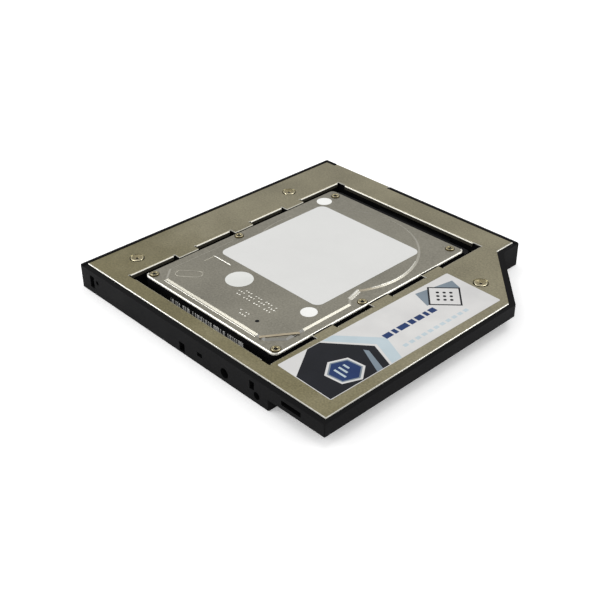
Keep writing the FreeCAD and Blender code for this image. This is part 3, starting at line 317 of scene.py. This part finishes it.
# Light copy of the disk screw metal, a painted highlight on their rims
DISK_RIM_HIGHLIGHT = metal("disk_rim_highlight", linear(150, 142, 114), linear(178, 169, 140), (0.26, 0.36), 900.0)
# Darker steel for the dimples' walls, a painted shade
DIMPLE_SHADE_STEEL = metal("dimple_shade_steel", linear(104, 97, 72), linear(128, 120, 92), (0.2, 0.3), 900.0)
# Painted shade on the sides of the screw heads
SCREW_SHADE = metal("screw_shade", linear(58, 50, 30), linear(82, 72, 48), (0.4, 0.5), 900.0)
BRIGHT_STEEL = metal("bright_steel", linear(190, 187, 175), linear(240, 238, 228))
# Black of the disk's cast base, also used as painted shade in screw recesses, in the breather hole and
# beside the disk
CAST_BLACK_AND_SHADE = moulded("cast_black_and_shade", linear(14, 14, 15), linear(21, 21, 23), (0.35, 0.5), 1400.0)
CONNECTOR = moulded("connector_black", linear(14, 14, 15), linear(22, 22, 24), (0.3, 0.42), 1800.0)
GOLD = metal("gold_flash", linear(205, 160, 70), linear(245, 212, 130), (0.2, 0.3))
BOARD = circuit("board_green", linear(12, 70, 34), linear(24, 98, 52))
CHIP = moulded("chip_brown", linear(120, 92, 62), linear(150, 120, 84), (0.4, 0.55), 2000.0)
RUBBER = moulded("gasket_black", linear(18, 18, 18), linear(28, 28, 28), (0.6, 0.75))
LABEL_PAPER = paper("label_paper", linear(205, 205, 203), linear(208, 208, 206))
FOIL_PAPER = paper("foil_paper", linear(205, 206, 202), linear(216, 217, 213))
SEAL_PAPER = paper("seal_paper", linear(224, 224, 221), linear(232, 232, 229))
FILM_WHITE = paper("film_white", linear(193, 192, 191), linear(207, 206, 204), (0.28, 0.38))
END_PAPER = striped_paper("end_paper", linear(244, 244, 241), linear(30, 30, 32), 0.0005)
MOTOR = metal("motor_turned", linear(150, 150, 150), linear(200, 200, 198))
INK_DARK = paper("ink_dark", linear(16, 17, 21), linear(26, 28, 34), (0.28, 0.38), 0.12)
INK_NAVY = paper("ink_navy", linear(22, 42, 84), linear(32, 56, 102), (0.28, 0.38), 0.15)
INK_SLATE = paper("ink_slate", linear(104, 116, 126), linear(122, 134, 144), (0.28, 0.38), 0.2)
INK_PALE = paper("ink_pale", linear(168, 182, 188), linear(182, 195, 201), (0.28, 0.38), 0.2)

NODE_MATERIALS = {
    "frame": BLACK_PLASTIC,
    "top_cover": COVER_STEEL,
    "cover_screws": SCREW_ZINC,
    "bottom_plate": PLATE_STEEL,
    "adapter_board": BOARD,
    "board_screw": BRIGHT_STEEL,
    "board_capacitors": CHIP,
    "drive_socket": CONNECTOR,
    "socket_contacts": GOLD,
    "host_plug": CONNECTOR,
    "host_contacts": GOLD,
    "cover_label": FILM_WHITE,
    "drive_base": CAST_BLACK_AND_SHADE,
    "cover_gasket": RUBBER,
    "drive_cover": DISK_STEEL,
    "drive_label": LABEL_PAPER,
    "seal_large": FOIL_PAPER,
    "seal_right": SEAL_PAPER,
    "seal_rear": SEAL_PAPER,
    "end_label": END_PAPER,
    "drive_board": BOARD,
    "spindle_motor": MOTOR,
    "drive_plug": CONNECTOR,
    "plug_contacts": GOLD,
}
for node_name, material in NODE_MATERIALS.items():
    nodes[node_name].data.materials.clear()
    nodes[node_name].data.materials.append(material)


def soften(node_name, width):
    """Give a CAD node's sharp edges a small rounding that catches the light."""
    rounding = nodes[node_name].modifiers.new("soft_edges", "BEVEL")
    rounding.width = width * MM
    rounding.segments = 2
    rounding.limit_method = "ANGLE"
    rounding.angle_limit = math.radians(40)
    rounding.harden_normals = True


for node_name, width in (("frame", 0.1), ("top_cover", 0.1), ("drive_cover", 0.06), ("drive_base", 0.1)):
    soften(node_name, width)


# Building pieces

def add_piece(name, builder, body, materials):
    """Turn a finished mesh builder into a piece that rides on a body."""
    mesh = bpy.data.meshes.new(name)
    builder.to_mesh(mesh)
    builder.free()
    for material in materials:
        mesh.materials.append(material)
    piece = bpy.data.objects.new(name, mesh)
    bpy.context.scene.collection.objects.link(piece)
    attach(piece, body)
    return piece


def ring_points(centre_x, centre_y, radius, z, count):
    return [place(centre_x + radius * math.cos(math.tau * step / count),
                  centre_y + radius * math.sin(math.tau * step / count), z)
            for step in range(count)]


def turned(x, y, level, profile, count):
    """Give the rings of a turned shape, from pairs of a radius and its height over a level."""
    return [ring_points(x, y, radius, level + height, count) for radius, height in profile]


def loft(builder, loops, material_index=0, cap_index=None):
    """Skin closed loops of equally many points, and close the last one in its own material."""
    rows = [[builder.verts.new(point) for point in loop] for loop in loops]
    count = len(rows[0])
    for low, high in zip(rows, rows[1:]):
        for step in range(count):
            after = (step + 1) % count
            face = builder.faces.new((low[step], low[after], high[after], high[step]))
            face.material_index = material_index
            face.smooth = True
    if cap_index is not None:
        builder.faces.new(rows[-1]).material_index = cap_index


# Beads where sheet metal is bent or cut, in near-white steel as painted highlights

# Places across a bead, in shares of half its width, with their levels, in shares of its height
BEAD_PROFILE = ((-1.0, -0.4), (-0.8, 0.5), (-0.4, 0.9), (0.0, 1.0), (0.4, 0.9), (0.8, 0.5), (1.0, -0.4))

# Limits for the upward part of a face's normal
UPRIGHT = (-0.2, 0.2)
ROUNDED = (0.6, 0.8)
GENTLE = (0.85, 0.95)
LEVEL = 0.99


def in_mm(point):
    return tuple(round((point[axis] - CORNER[axis]) / MM, 3) for axis in range(3))


def creases(node_name, limits, keep):
    """Give the edges between a level face and one that slopes within the limits, where keep is true.

    Each comes as two points in millimetres and the outward direction of its sloping face.
    """
    node = nodes[node_name]
    sides = {}
    for face in node.data.polygons:
        corners = [in_mm(node.matrix_world @ node.data.vertices[index].co) for index in face.vertices]
        normal = node.matrix_world.to_3x3() @ face.normal
        for first, second in zip(corners, corners[1:] + corners[:1]):
            sides.setdefault(frozenset((first, second)), []).append(normal)
    found = []
    for edge, normals in sides.items():
        if len(normals) != 2 or len(edge) != 2:
            continue
        slope, level = sorted(normals, key=lambda normal: normal.z)
        outward = Vector((slope.x, slope.y, 0.0)).normalized()
        if level.z > LEVEL and limits[0] < slope.z < limits[1] and keep(*edge, outward):
            found.append((*edge, outward))
    return found


def add_beads(name, edges, body, width, height, inset=0.0, material=HIGHLIGHT_STEEL):
    """Lay a low rounded bead along edges, moved inward from them by the inset."""
    outward = {}
    for first, second, direction in edges:
        for point in (first, second):
            outward[point] = outward.get(point, Vector()) + direction
    builder = bmesh.new()
    rows = {}
    for (x, y, z), direction in outward.items():
        direction = direction.normalized()
        reaches = [(side * width / 2 - inset, z + rise * height) for side, rise in BEAD_PROFILE]
        rows[(x, y, z)] = [builder.verts.new(place(x + direction.x * reach, y + direction.y * reach, level))
                           for reach, level in reaches]
    for first, second, _ in edges:
        for corners in zip(rows[first], rows[first][1:], rows[second][1:], rows[second]):
            builder.faces.new(corners).smooth = True
    bmesh.ops.recalc_face_normals(builder, faces=builder.faces)
    return add_piece(name, builder, body, [material])


# Which creases get a bead. Each test is given an edge's two points and its outward direction, whose
# part x or y exceeds FACING on an edge that faces along that axis.

FACING = 0.9
PARTLY_FACING = 0.3
ON_LINE = 0.05
CREST_DEPTH = 0.1
REAR_PART_RIGHT = 101.4
STAMP_X, STAMP_REAR = DISK_LEFT + 12.6, DISK_FRONT + 26.2
STAMP_REACH_X, STAMP_REACH_Y = 6.0, 0.3
RING_START_X, RING_START_Y = 0.8, 0.1
RING_START_REAR = DISK_FRONT + 52.0
RING_ARC_X = 0.7
RING_ARC_REAR = DISK_FRONT + 76.0
LAND_GAP = 1.0


def on_lit_side(first, second, outward):
    """True for the sheet's front edge, its right edge and the right edge of its rear part."""
    def lies(axis, line):
        return abs(first[axis] - line) < ON_LINE and abs(second[axis] - line) < ON_LINE
    return lies(1, SHEET_FRONT) or lies(0, SHEET_RIGHT) or lies(0, REAR_PART_RIGHT)


def along_relief_front(first, second, outward):
    """True for the foot of the raised field's front slope."""
    return outward.y < -FACING and first[2] < DISK_TOP - CREST_DEPTH


def faces_front_or_right(first, second, outward):
    return outward.x > PARTLY_FACING or outward.y < -PARTLY_FACING


def behind_stamp(first, second, outward):
    """True for the rear rim of the square stamped field near the disk's left side."""
    def near_rim(point):
        return abs(point[0] - STAMP_X) < STAMP_REACH_X and abs(point[1] - STAMP_REAR) < STAMP_REACH_Y
    return outward.y < -FACING and near_rim(first) and near_rim(second)


def at_ring_start(first, second, outward):
    """True for the slope where the platter's ring leaves the right side, past its middle screw."""
    faces_rear_right = outward.x > RING_START_X and outward.y > RING_START_Y
    return faces_rear_right and max(first[1], second[1]) < RING_START_REAR


def along_ring_arc(first, second, outward):
    """True for the crest of the platter's ring where it faces right, in its front half."""
    at_crest = outward.x > RING_ARC_X and first[2] > DISK_TOP - CREST_DEPTH
    return at_crest and RING_START_REAR < (first[1] + second[1]) / 2 < RING_ARC_REAR


def beside_disk(first, second, outward):
    """True for the inner edges of the sheet's lands on the disk's right side."""
    return outward.x < -FACING and 0.0 < min(first[0], second[0]) - DISK_RIGHT < LAND_GAP


def ending_at(edges, right):
    """Give the same edges, cut off at the line that they would pass on the right."""
    return [((min(first[0], right), *first[1:]), (min(second[0], right), *second[1:]), outward)
            for first, second, outward in edges if min(first[0], second[0]) < right]


# Painted highlights: near-white beads along the lit edges, slopes and crests
add_beads("sheet_edge_beads", creases("top_cover", UPRIGHT, on_lit_side),
          "adapter", width=0.5, height=0.06, inset=0.2)
add_beads("relief_bead", ending_at(creases("drive_cover", GENTLE, along_relief_front), CORNER_LEFT),
          "drive", width=0.3, height=0.06, inset=-0.44)
add_beads("disk_edge_beads", creases("drive_cover", ROUNDED, faces_front_or_right),
          "drive", width=0.56, height=0.12)
add_beads("stamp_bead", creases("drive_cover", UPRIGHT, behind_stamp),
          "drive", width=0.5, height=0.06)
add_beads("ring_bead", creases("drive_cover", GENTLE, at_ring_start),
          "drive", width=0.8, height=0.05, inset=0.1)
add_beads("ring_arc_bead", creases("drive_cover", GENTLE, along_ring_arc),
          "drive", width=0.36, height=0.05)


# Dark edge on the lands beside the disk, where the photo shows a gap

# Painted shade: a black strip laid on the lands' inner edges, which widens the dark gap beside the disk
add_beads("land_gap_shade", creases("top_cover", UPRIGHT, beside_disk),
          "adapter", width=0.76, height=0.03, inset=0.38, material=CAST_BLACK_AND_SHADE)


# Fold across the front right corner of the disk cover's raised field, drawn as a light tan band of painted
# highlight with a dark line of painted shade along it

FOLD_START = (DISK_RIGHT - 10.85, DISK_FRONT + RELIEF_FRONT)
FOLD_END = (DISK_RIGHT - RELIEF_SIDE, DISK_FRONT + 14.24)


def fold_part(start_share, end_share):
    """Give part of the fold as one edge, in the form that creases() gives."""
    run = (FOLD_END[0] - FOLD_START[0], FOLD_END[1] - FOLD_START[1])
    ends = [(FOLD_START[0] + share * run[0], FOLD_START[1] + share * run[1], DISK_TOP)
            for share in (start_share, end_share)]
    return [(*ends, Vector((run[1], -run[0], 0.0)).normalized())]


add_beads("corner_fold_highlight", fold_part(0.0, 1.0),
          "drive", width=1.2, height=0.025, material=FOLD_HIGHLIGHT_TAN)
add_beads("corner_crease_shade", fold_part(0.14, 0.9),
          "drive", width=0.5, height=0.03, inset=-0.8, material=CREASE_SHADE_BROWN)


# Outline of the slanting stamped field with round ends, a light bead as a soft painted highlight

SLANT_X, SLANT_Y = DISK_LEFT + 11.4, DISK_FRONT + 11.4
SLANT_HALF, SLANT_RADIUS = 3.0, 2.0
SLANT_TURN = math.radians(40)
SLANT_STEPS = 16


def racetrack():
    """Give the edges round the slanting field, in the form that creases() gives."""
    loop = []
    for end in (1, -1):
        for step in range(SLANT_STEPS + 1):
            angle = math.pi * (step / SLANT_STEPS - 0.5) + (0.0 if end == 1 else math.pi)
            outward = Vector((math.cos(angle + SLANT_TURN), math.sin(angle + SLANT_TURN), 0.0))
            centre_x = SLANT_X + end * SLANT_HALF * math.cos(SLANT_TURN)
            centre_y = SLANT_Y + end * SLANT_HALF * math.sin(SLANT_TURN)
            point = (centre_x + SLANT_RADIUS * outward.x, centre_y + SLANT_RADIUS * outward.y, DISK_TOP)
            loop.append((point, outward))
    return [(first, second, outward) for (first, outward), (second, _) in zip(loop, loop[1:] + loop[:1])]


add_beads("slant_bead", racetrack(),
          "drive", width=0.36, height=0.03, material=SOFT_HIGHLIGHT_STEEL)


# Upright lip along the frame's left and rear edges, outside the sheet and broken at its rear tab

LIP_LOW, LIP_TOP = 9.1, 9.48
LIP_WIDTH = 1.3
LIP_ROUND = 0.12
LIP_END = 0.3
TAB_LEFT, TAB_RIGHT = 5.9, 37.5
LIP_RIGHT = 102.6
INWARD_RIGHT, INWARD_FRONT = (1.0, 0.0), (0.0, -1.0)
LIP_SIDES = (((0.0, LIP_END), (0.0, FRAME_REAR - LIP_END), INWARD_RIGHT),
             ((LIP_END, FRAME_REAR), (TAB_LEFT, FRAME_REAR), INWARD_FRONT),
             ((TAB_RIGHT, FRAME_REAR), (LIP_RIGHT, FRAME_REAR), INWARD_FRONT))


def lip_section(x, y, inward):
    """Rounded upright section of the lip at one place on the frame's edge."""
    outline = ((0.0, LIP_LOW), (0.0, LIP_TOP - LIP_ROUND), (LIP_ROUND, LIP_TOP),
               (LIP_WIDTH - LIP_ROUND, LIP_TOP), (LIP_WIDTH, LIP_TOP - LIP_ROUND), (LIP_WIDTH, LIP_LOW))
    return [place(x + inward[0] * reach, y + inward[1] * reach, level) for reach, level in outline]


lip = bmesh.new()
for start, end, inward in LIP_SIDES:
    first = [lip.verts.new(point) for point in lip_section(*start, inward)]
    last = [lip.verts.new(point) for point in lip_section(*end, inward)]
    for low, high, far_high, far_low in zip(first, first[1:], last[1:], last):
        lip.faces.new((low, high, far_high, far_low))
    lip.faces.new(first)
    lip.faces.new(last)
bmesh.ops.recalc_face_normals(lip, faces=lip.faces)
add_piece("frame_lip", lip, "adapter", [BLACK_PLASTIC])


# Screw heads on the disk's cover

HEAD_RADIUS = 1.84
HEAD_RISE = 0.46
HEAD_TAPER = 0.26
HEAD_STEPS = 48
STAR_RADIUS = 0.78
STAR_DIP = 0.2
RECESS_DRAFT = 0.05
DISK_SCREWS = [(DISK_LEFT + inset, DISK_FRONT + along)
               for inset, along in ((2.3, 2.6), (2.2, 43.1), (4.6, 93.3))]
DISK_SCREWS += [(DISK_LEFT + DISK_RIGHT - x, y) for x, y in DISK_SCREWS]

# Places of a head's parts in its list of materials
HEAD_FACE, HEAD_RECESS, HEAD_SIDE, HEAD_RIM = range(4)


def star_points(centre_x, centre_y, radius, z):
    """Give the outline of a six-lobed recess."""
    points = []
    for step in range(HEAD_STEPS):
        angle = math.tau * step / HEAD_STEPS
        reach = radius * (1 - STAR_DIP * (1 - math.cos(6 * angle)) / 2)
        points.append(place(centre_x + reach * math.cos(angle), centre_y + reach * math.sin(angle), z))
    return points


def dished_head(builder, x, y, low, radius, rise, recess, taper=0.0):
    """Build a head with a side in painted shade, a rim as a painted highlight and a dished top round a
    recess in painted shade.
    """
    def rings(profile):
        return turned(x, y, low, profile, HEAD_STEPS)

    crown = radius - taper
    side = [(radius, 0.0), (radius, rise * 0.4), (crown, rise * 0.78)]
    rim = [(crown, rise * 0.78), (crown - 0.1, rise * 0.92), (crown - 0.3, rise)]
    dish = [(crown - 0.3, rise), (crown - 0.5, rise * 0.94), (crown * 0.6, rise * 0.72),
            (recess + 0.1, rise * 0.62)]
    loft(builder, rings(side), HEAD_SIDE)
    loft(builder, rings(rim), HEAD_RIM)
    stars = [star_points(x, y, recess, low + rise * 0.6),
             star_points(x, y, recess - RECESS_DRAFT, low + rise * 0.5)]
    loft(builder, rings(dish) + stars, HEAD_FACE, cap_index=HEAD_RECESS)


heads = bmesh.new()
for x, y in DISK_SCREWS:
    dished_head(heads, x, y, RIM_TOP, HEAD_RADIUS, HEAD_RISE, STAR_RADIUS, HEAD_TAPER)
add_piece("disk_screw_heads", heads, "drive",
          [DISK_SCREW_ZINC, CAST_BLACK_AND_SHADE, SCREW_SHADE, DISK_RIM_HIGHLIGHT])


# Screw heads in the sheet's dimples, whose walls slope down to them and are darker steel as painted shade

COVER_HEAD_RADIUS = 2.35
COVER_HEAD_RISE = 0.56
COVER_RECESS = 0.7
DIMPLE_RADIUS = 2.94
DIMPLE_PROFILE = ((DIMPLE_RADIUS, -0.005), (DIMPLE_RADIUS - 0.15, -0.1), (COVER_HEAD_RADIUS, -0.45))
COVER_HEAD_TOP = 9.48
HEAD_TOP_UNDER_STICKER = SHEET_TOP - 0.03
COVER_SCREWS_LEFT, COVER_SCREWS_RIGHT = 11.0, 110.9
COVER_SCREWS_FRONT, COVER_SCREWS_REAR = 17.7, 94.9
COVER_SCREWS = ((COVER_SCREWS_LEFT, COVER_SCREWS_FRONT, COVER_HEAD_TOP),
                (COVER_SCREWS_LEFT, COVER_SCREWS_REAR, COVER_HEAD_TOP),
                (COVER_SCREWS_RIGHT, COVER_SCREWS_REAR, COVER_HEAD_TOP),
                (COVER_SCREWS_RIGHT, COVER_SCREWS_FRONT, HEAD_TOP_UNDER_STICKER))
cover_heads = bmesh.new()
dimples = bmesh.new()
for x, y, top in COVER_SCREWS:
    dished_head(cover_heads, x, y, top - COVER_HEAD_RISE, COVER_HEAD_RADIUS, COVER_HEAD_RISE, COVER_RECESS)
    loft(dimples, turned(x, y, SHEET_TOP, DIMPLE_PROFILE, HEAD_STEPS))
cover_heads_piece = add_piece("cover_screw_heads", cover_heads, "adapter",
                              [SCREW_ZINC, CAST_BLACK_AND_SHADE, SCREW_SHADE, RIM_HIGHLIGHT])
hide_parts("cover_screws")
add_piece("screw_dimples", dimples, "adapter", [DIMPLE_SHADE_STEEL])


# Screws that hold the board to the disk's underside

BOARD_SCREW_RADIUS = 1.5
BOARD_SCREW_INSET = 2.6
BOARD_SCREW_SINK = 0.05
BOARD_SCREW_LOW = BOARD_LOW - 0.45
BOARD_SCREW_ROUND = 0.12
BOARD_RECESS_RADIUS = 0.75
BOARD_RECESS_TOP = BOARD_LOW - 0.15
board_screws = bmesh.new()
for x in (BOARD_LEFT + BOARD_SCREW_INSET, BOARD_RIGHT - BOARD_SCREW_INSET):
    for y in (BOARD_FRONT + BOARD_SCREW_INSET, BOARD_REAR - 3 * BOARD_SCREW_INSET):
        loops = [ring_points(x, y, BOARD_SCREW_RADIUS, BOARD_LOW + BOARD_SCREW_SINK, HEAD_STEPS),
                 ring_points(x, y, BOARD_SCREW_RADIUS, BOARD_SCREW_LOW + BOARD_SCREW_ROUND, HEAD_STEPS),
                 ring_points(x, y, BOARD_SCREW_RADIUS - BOARD_SCREW_ROUND, BOARD_SCREW_LOW, HEAD_STEPS),
                 star_points(x, y, BOARD_RECESS_RADIUS, BOARD_SCREW_LOW),
                 star_points(x, y, BOARD_RECESS_RADIUS - RECESS_DRAFT, BOARD_RECESS_TOP)]
        loft(board_screws, [loop[::-1] for loop in loops], cap_index=HEAD_RECESS)
# The board screws' recesses are black as painted shade
add_piece("disk_board_screws", board_screws, "drive", [BRIGHT_STEEL, CAST_BLACK_AND_SHADE])


# Raised pips beside the breather, plain dots in five rows with gaps. A row gives the first pip's
# place along x, the row's place along y and the number of pips.

PIP_RADIUS = 0.34
PIP_RISE = 0.09
PIP_PROFILE = ((PIP_RADIUS, -0.01), (PIP_RADIUS * 0.8, PIP_RISE * 0.6), (PIP_RADIUS * 0.35, PIP_RISE))
PIP_ROWS = ((55.5, 31.8, 14), (54.7, 30.2, 15), (55.6, 28.4, 14), (64.5, 22.6, 4), (64.5, 20.9, 4))
PIP_PITCH = 1.3
PIP_SKIP = 4
PIP_STEPS = 12
pips = bmesh.new()
for row, (first, along, count) in enumerate(PIP_ROWS):
    for number in range(count):
        if (number + row) % PIP_SKIP == 0:
            continue
        x = first + number * PIP_PITCH
        loft(pips, turned(x, along, DISK_TOP, PIP_PROFILE, PIP_STEPS), cap_index=0)
# The pips are near-white steel, so they show as painted glints
add_piece("cover_pips", pips, "drive", [HIGHLIGHT_STEEL])


# Dark plug that closes the breather hole, standing in for its filter and, as painted shade, for the hole's
# dark inside

BREATHER_X, BREATHER_Y = DISK_RIGHT - 18.25, DISK_FRONT + 8.7
BREATHER_RADIUS = 0.79
BREATHER_STEPS = 24
BREATHER_PROFILE = ((BREATHER_RADIUS, -0.3), (BREATHER_RADIUS, -0.01), (BREATHER_RADIUS * 0.5, -0.08))
plug = bmesh.new()
loft(plug, turned(BREATHER_X, BREATHER_Y, DISK_TOP, BREATHER_PROFILE, BREATHER_STEPS), cap_index=0)
add_piece("breather_shade_plug", plug, "drive", [CAST_BLACK_AND_SHADE])


# Sticker: a film with printed fields on it, laid out in its own frame, u across and v along

STICKER_TURN = math.radians(-1.15)
STICKER_U = (STICKER_LEFT + STICKER_RIGHT) / 2
STICKER_V = (STICKER_FRONT + STICKER_REAR) / 2
cosine, sine = math.cos(STICKER_TURN), abs(math.sin(STICKER_TURN))
span_x, span_y = STICKER_RIGHT - STICKER_LEFT, STICKER_REAR - STICKER_FRONT
HALF_U = (span_x * cosine - span_y * sine) / (cosine ** 2 - sine ** 2) / 2
HALF_V = (span_y * cosine - span_x * sine) / (cosine ** 2 - sine ** 2) / 2
STICKER_CORNER = 0.6
FILM_TOP = STICKER_TOP - 0.03
FILM_ROUND = 0.015
INK_STEP = 0.004
PRINT_MARGIN = 0.25


def on_sticker(u, v, z):
    turned_x = u * math.cos(STICKER_TURN) - v * math.sin(STICKER_TURN)
    turned_y = u * math.sin(STICKER_TURN) + v * math.cos(STICKER_TURN)
    return place(STICKER_U + turned_x, STICKER_V + turned_y, z)


def rounded_outline(inset, z, steps=6):
    """Give the sticker's outline with its round corners, moved inward by the inset."""
    points = []
    for corner, (side_u, side_v) in enumerate(((1, 1), (-1, 1), (-1, -1), (1, -1))):
        for step in range(steps + 1):
            angle = math.pi / 2 * (corner + step / steps)
            points.append(on_sticker(
                side_u * (HALF_U - inset - STICKER_CORNER) + STICKER_CORNER * math.cos(angle),
                side_v * (HALF_V - inset - STICKER_CORNER) + STICKER_CORNER * math.sin(angle), z))
    return points


film = bmesh.new()
loft(film, [rounded_outline(0.0, STICKER_LOW),
            rounded_outline(0.0, FILM_TOP - FILM_ROUND),
            rounded_outline(FILM_ROUND, FILM_TOP)], cap_index=0)
sticker_film = add_piece("sticker_film", film, "adapter", [FILM_WHITE])
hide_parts("cover_label")

INKS = [INK_DARK, INK_NAVY, INK_SLATE, INK_PALE, FILM_WHITE]
DARK, NAVY, SLATE, PALE, WHITE = range(5)
ink = bmesh.new()


def ink_field(corners, colour, layer):
    """Print a flat field; layers lie one over another."""
    face = ink.faces.new([ink.verts.new(on_sticker(u, v, FILM_TOP + layer * INK_STEP)) for u, v in corners])
    face.material_index = colour


def polygon(centre_u, centre_v, radius, sides, turn=0.0):
    return [(centre_u + radius * math.cos(turn + math.tau * side / sides),
             centre_v + radius * math.sin(turn + math.tau * side / sides)) for side in range(sides)]


def bar(left, low, width, length):
    return [(left, low), (left + width, low), (left + width, low + length), (left, low + length)]


# Slanting bands across the front half, as colour, layer and corners
EDGE_U, EDGE_V = HALF_U - PRINT_MARGIN, HALF_V - PRINT_MARGIN
BANDS = (
    (PALE, 1, ((EDGE_U, -9.0), (1.0, -4.6), (-EDGE_U, -16.6), (-EDGE_U, -21.4), (1.4, -9.6),
               (EDGE_U, -13.6))),
    (DARK, 1, ((-3.5, -EDGE_V), (EDGE_U, -EDGE_V), (EDGE_U, -14.6), (1.6, -10.8), (-EDGE_U, -22.6),
               (-EDGE_U, -28.0))),
    (SLATE, 2, ((EDGE_U, -17.6), (2.2, -14.0), (0.6, -15.0), (EDGE_U, -20.2))))
for colour, layer, corners in BANDS:
    ink_field(corners, colour, layer)

# Six-sided badge with three bars of falling width
BADGE_U, BADGE_V = 4.6, -27.2
BADGE_TURN = math.radians(8)
BADGE_INSET = 2.6
BADGE_BAR_WIDTH, BADGE_BAR_SHRINK = 5.2, 1.3
BADGE_BAR_LENGTH, BADGE_BAR_PITCH = 0.8, 2.0
for radius, colour, layer in ((7.0, WHITE, 2), (6.1, SLATE, 3), (5.5, NAVY, 4)):
    ink_field(polygon(BADGE_U, BADGE_V, radius, 6, BADGE_TURN), colour, layer)
for number in range(3):
    ink_field(bar(BADGE_U - BADGE_INSET, BADGE_V - BADGE_INSET + number * BADGE_BAR_PITCH,
                  BADGE_BAR_WIDTH - number * BADGE_BAR_SHRINK, BADGE_BAR_LENGTH), PALE, 5)

# Line of navy bars, and a line of pale dashes beside it
BAR_LENGTHS = (3.4, 1.7, 4.4, 2.4, 3.2, 1.7, 2.8)
BAR_LEFT, BAR_FRONT = -0.9, -5.0
BAR_WIDTH, BAR_GAP = 2.5, 0.9
low = BAR_FRONT
for length in BAR_LENGTHS:
    ink_field(bar(BAR_LEFT, low, BAR_WIDTH, length), NAVY, 2)
    low += length + BAR_GAP
DASHES = 11
DASH_LEFT, DASH_FRONT = 7.4, -4.0
DASH_WIDTH, DASH_LENGTH, DASH_PITCH = 1.5, 1.9, 3.0
for number in range(DASHES):
    ink_field(bar(DASH_LEFT, DASH_FRONT + number * DASH_PITCH, DASH_WIDTH, DASH_LENGTH), PALE, 2)

# Framed square on its point over a slate field, with nine dots
SQUARE_U, SQUARE_V = -2.6, 28.4
DOT_PITCH, DOT_RADIUS, DOT_STEPS = 1.65, 0.62, 20
ink_field(((-10.6, 22.0), (-2.6, 19.4), (-2.6, 36.6), (-7.6, 38.2)), SLATE, 2)
for radius, colour, layer in ((8.2, DARK, 3), (7.3, WHITE, 4)):
    ink_field(polygon(SQUARE_U, SQUARE_V, radius, 4), colour, layer)
for across in (-1, 0, 1):
    for along in (-1, 0, 1):
        ink_field(polygon(SQUARE_U + (across + along) * DOT_PITCH, SQUARE_V + (across - along) * DOT_PITCH,
                          DOT_RADIUS, DOT_STEPS), DARK, 5)
add_piece("sticker_print", ink, "adapter", INKS)


# Studio

def add_light(name, location, size, power):
    """Add a soft rectangular light aimed at the middle of the object."""
    lamp = bpy.data.lights.new(name, "AREA")
    lamp.shape = "RECTANGLE"
    lamp.size, lamp.size_y = size
    lamp.energy = power
    holder = bpy.data.objects.new(name, lamp)
    holder.location = location
    holder.rotation_mode = "QUATERNION"
    holder.rotation_quaternion = (-Vector(location)).to_track_quat("-Z", "Y")
    bpy.context.scene.collection.objects.link(holder)


FLOOR_HALF = 4.0
FLOOR_DROP = 0.0002
FLOOR_DARK, FLOOR_LIGHT = (0.955, 0.955, 0.955, 1.0), (0.975, 0.975, 0.975, 1.0)
FLOOR_GLOW = 0.22
floor_mesh = bpy.data.meshes.new("studio_floor")
floor_mesh.from_pydata([(x * FLOOR_HALF, y * FLOOR_HALF, -FLOOR_DROP)
                        for x, y in ((-1, -1), (1, -1), (1, 1), (-1, 1))], [], [(0, 1, 2, 3)])
studio_floor = bpy.data.objects.new("studio_floor", floor_mesh)
bpy.context.scene.collection.objects.link(studio_floor)
floor_material, floor_tree = start_material("studio_floor")
finish_material(floor_material, floor_tree, {
    "Base Color": mix(floor_tree, noise(floor_tree, object_point(floor_tree), 3.0),
                      FLOOR_DARK, FLOOR_LIGHT),
    "Roughness": 0.9,
    "Specular IOR Level": 0.1,
    "Emission Color": (1.0, 1.0, 1.0, 1.0),
    "Emission Strength": FLOOR_GLOW})
floor_mesh.materials.append(floor_material)

world = bpy.data.worlds.new("studio_world")
bpy.context.scene.world = world
world.use_nodes = True
WORLD_STRENGTH = 0.7
world.node_tree.nodes["Background"].inputs["Color"].default_value = (1.0, 1.0, 1.0, 1.0)
world.node_tree.nodes["Background"].inputs["Strength"].default_value = WORLD_STRENGTH

# Name, place, size and power of each light, in metres and watts
LIGHTS = (("key", (0.25, -0.75, 0.55), (0.7, 0.5), 1.2),
          ("front_left", (-0.62, -0.6, 0.42), (0.5, 0.5), 2.2),
          ("rear_right", (0.62, 0.58, 0.45), (0.5, 0.5), 1.7),
          ("rear_top", (0.02, 0.57, 0.82), (0.28, 0.28), 1.4),
          ("left_top", (-0.61, -0.05, 0.79), (0.28, 0.28), 1.4))
for light in LIGHTS:
    add_light(*light)

bpy.context.scene.view_settings.view_transform = "Standard"
bpy.context.scene.view_settings.look = "None"

# Camera fitted to the photo: azimuth, elevation and roll in degrees, place in metres
CAMERA_ANGLES = (46.8012, 32.7994, -0.5856)
CAMERA_PLACE = (0.2287, -0.2280, 0.2025)
CAMERA_SENSOR, CAMERA_LENS = 36.0, 61.64
camera_data = bpy.data.cameras.new("camera")
camera_data.sensor_width = CAMERA_SENSOR
camera_data.lens = CAMERA_LENS
camera_data.clip_start = 0.01
camera_data.clip_end = 20.0
camera = bpy.data.objects.new("camera", camera_data)
azimuth, elevation, roll = (math.radians(angle) for angle in CAMERA_ANGLES)
back = Vector((math.sin(azimuth) * math.cos(elevation), -math.cos(azimuth) * math.cos(elevation),
               math.sin(elevation)))
level_view = (-back).to_track_quat("-Z", "Y").to_matrix()
camera.rotation_mode = "QUATERNION"
camera.rotation_quaternion = (level_view @ Matrix.Rotation(roll, 3, "Z")).to_quaternion()
camera.location = CAMERA_PLACE
bpy.context.scene.collection.objects.link(camera)
bpy.context.scene.camera = camera
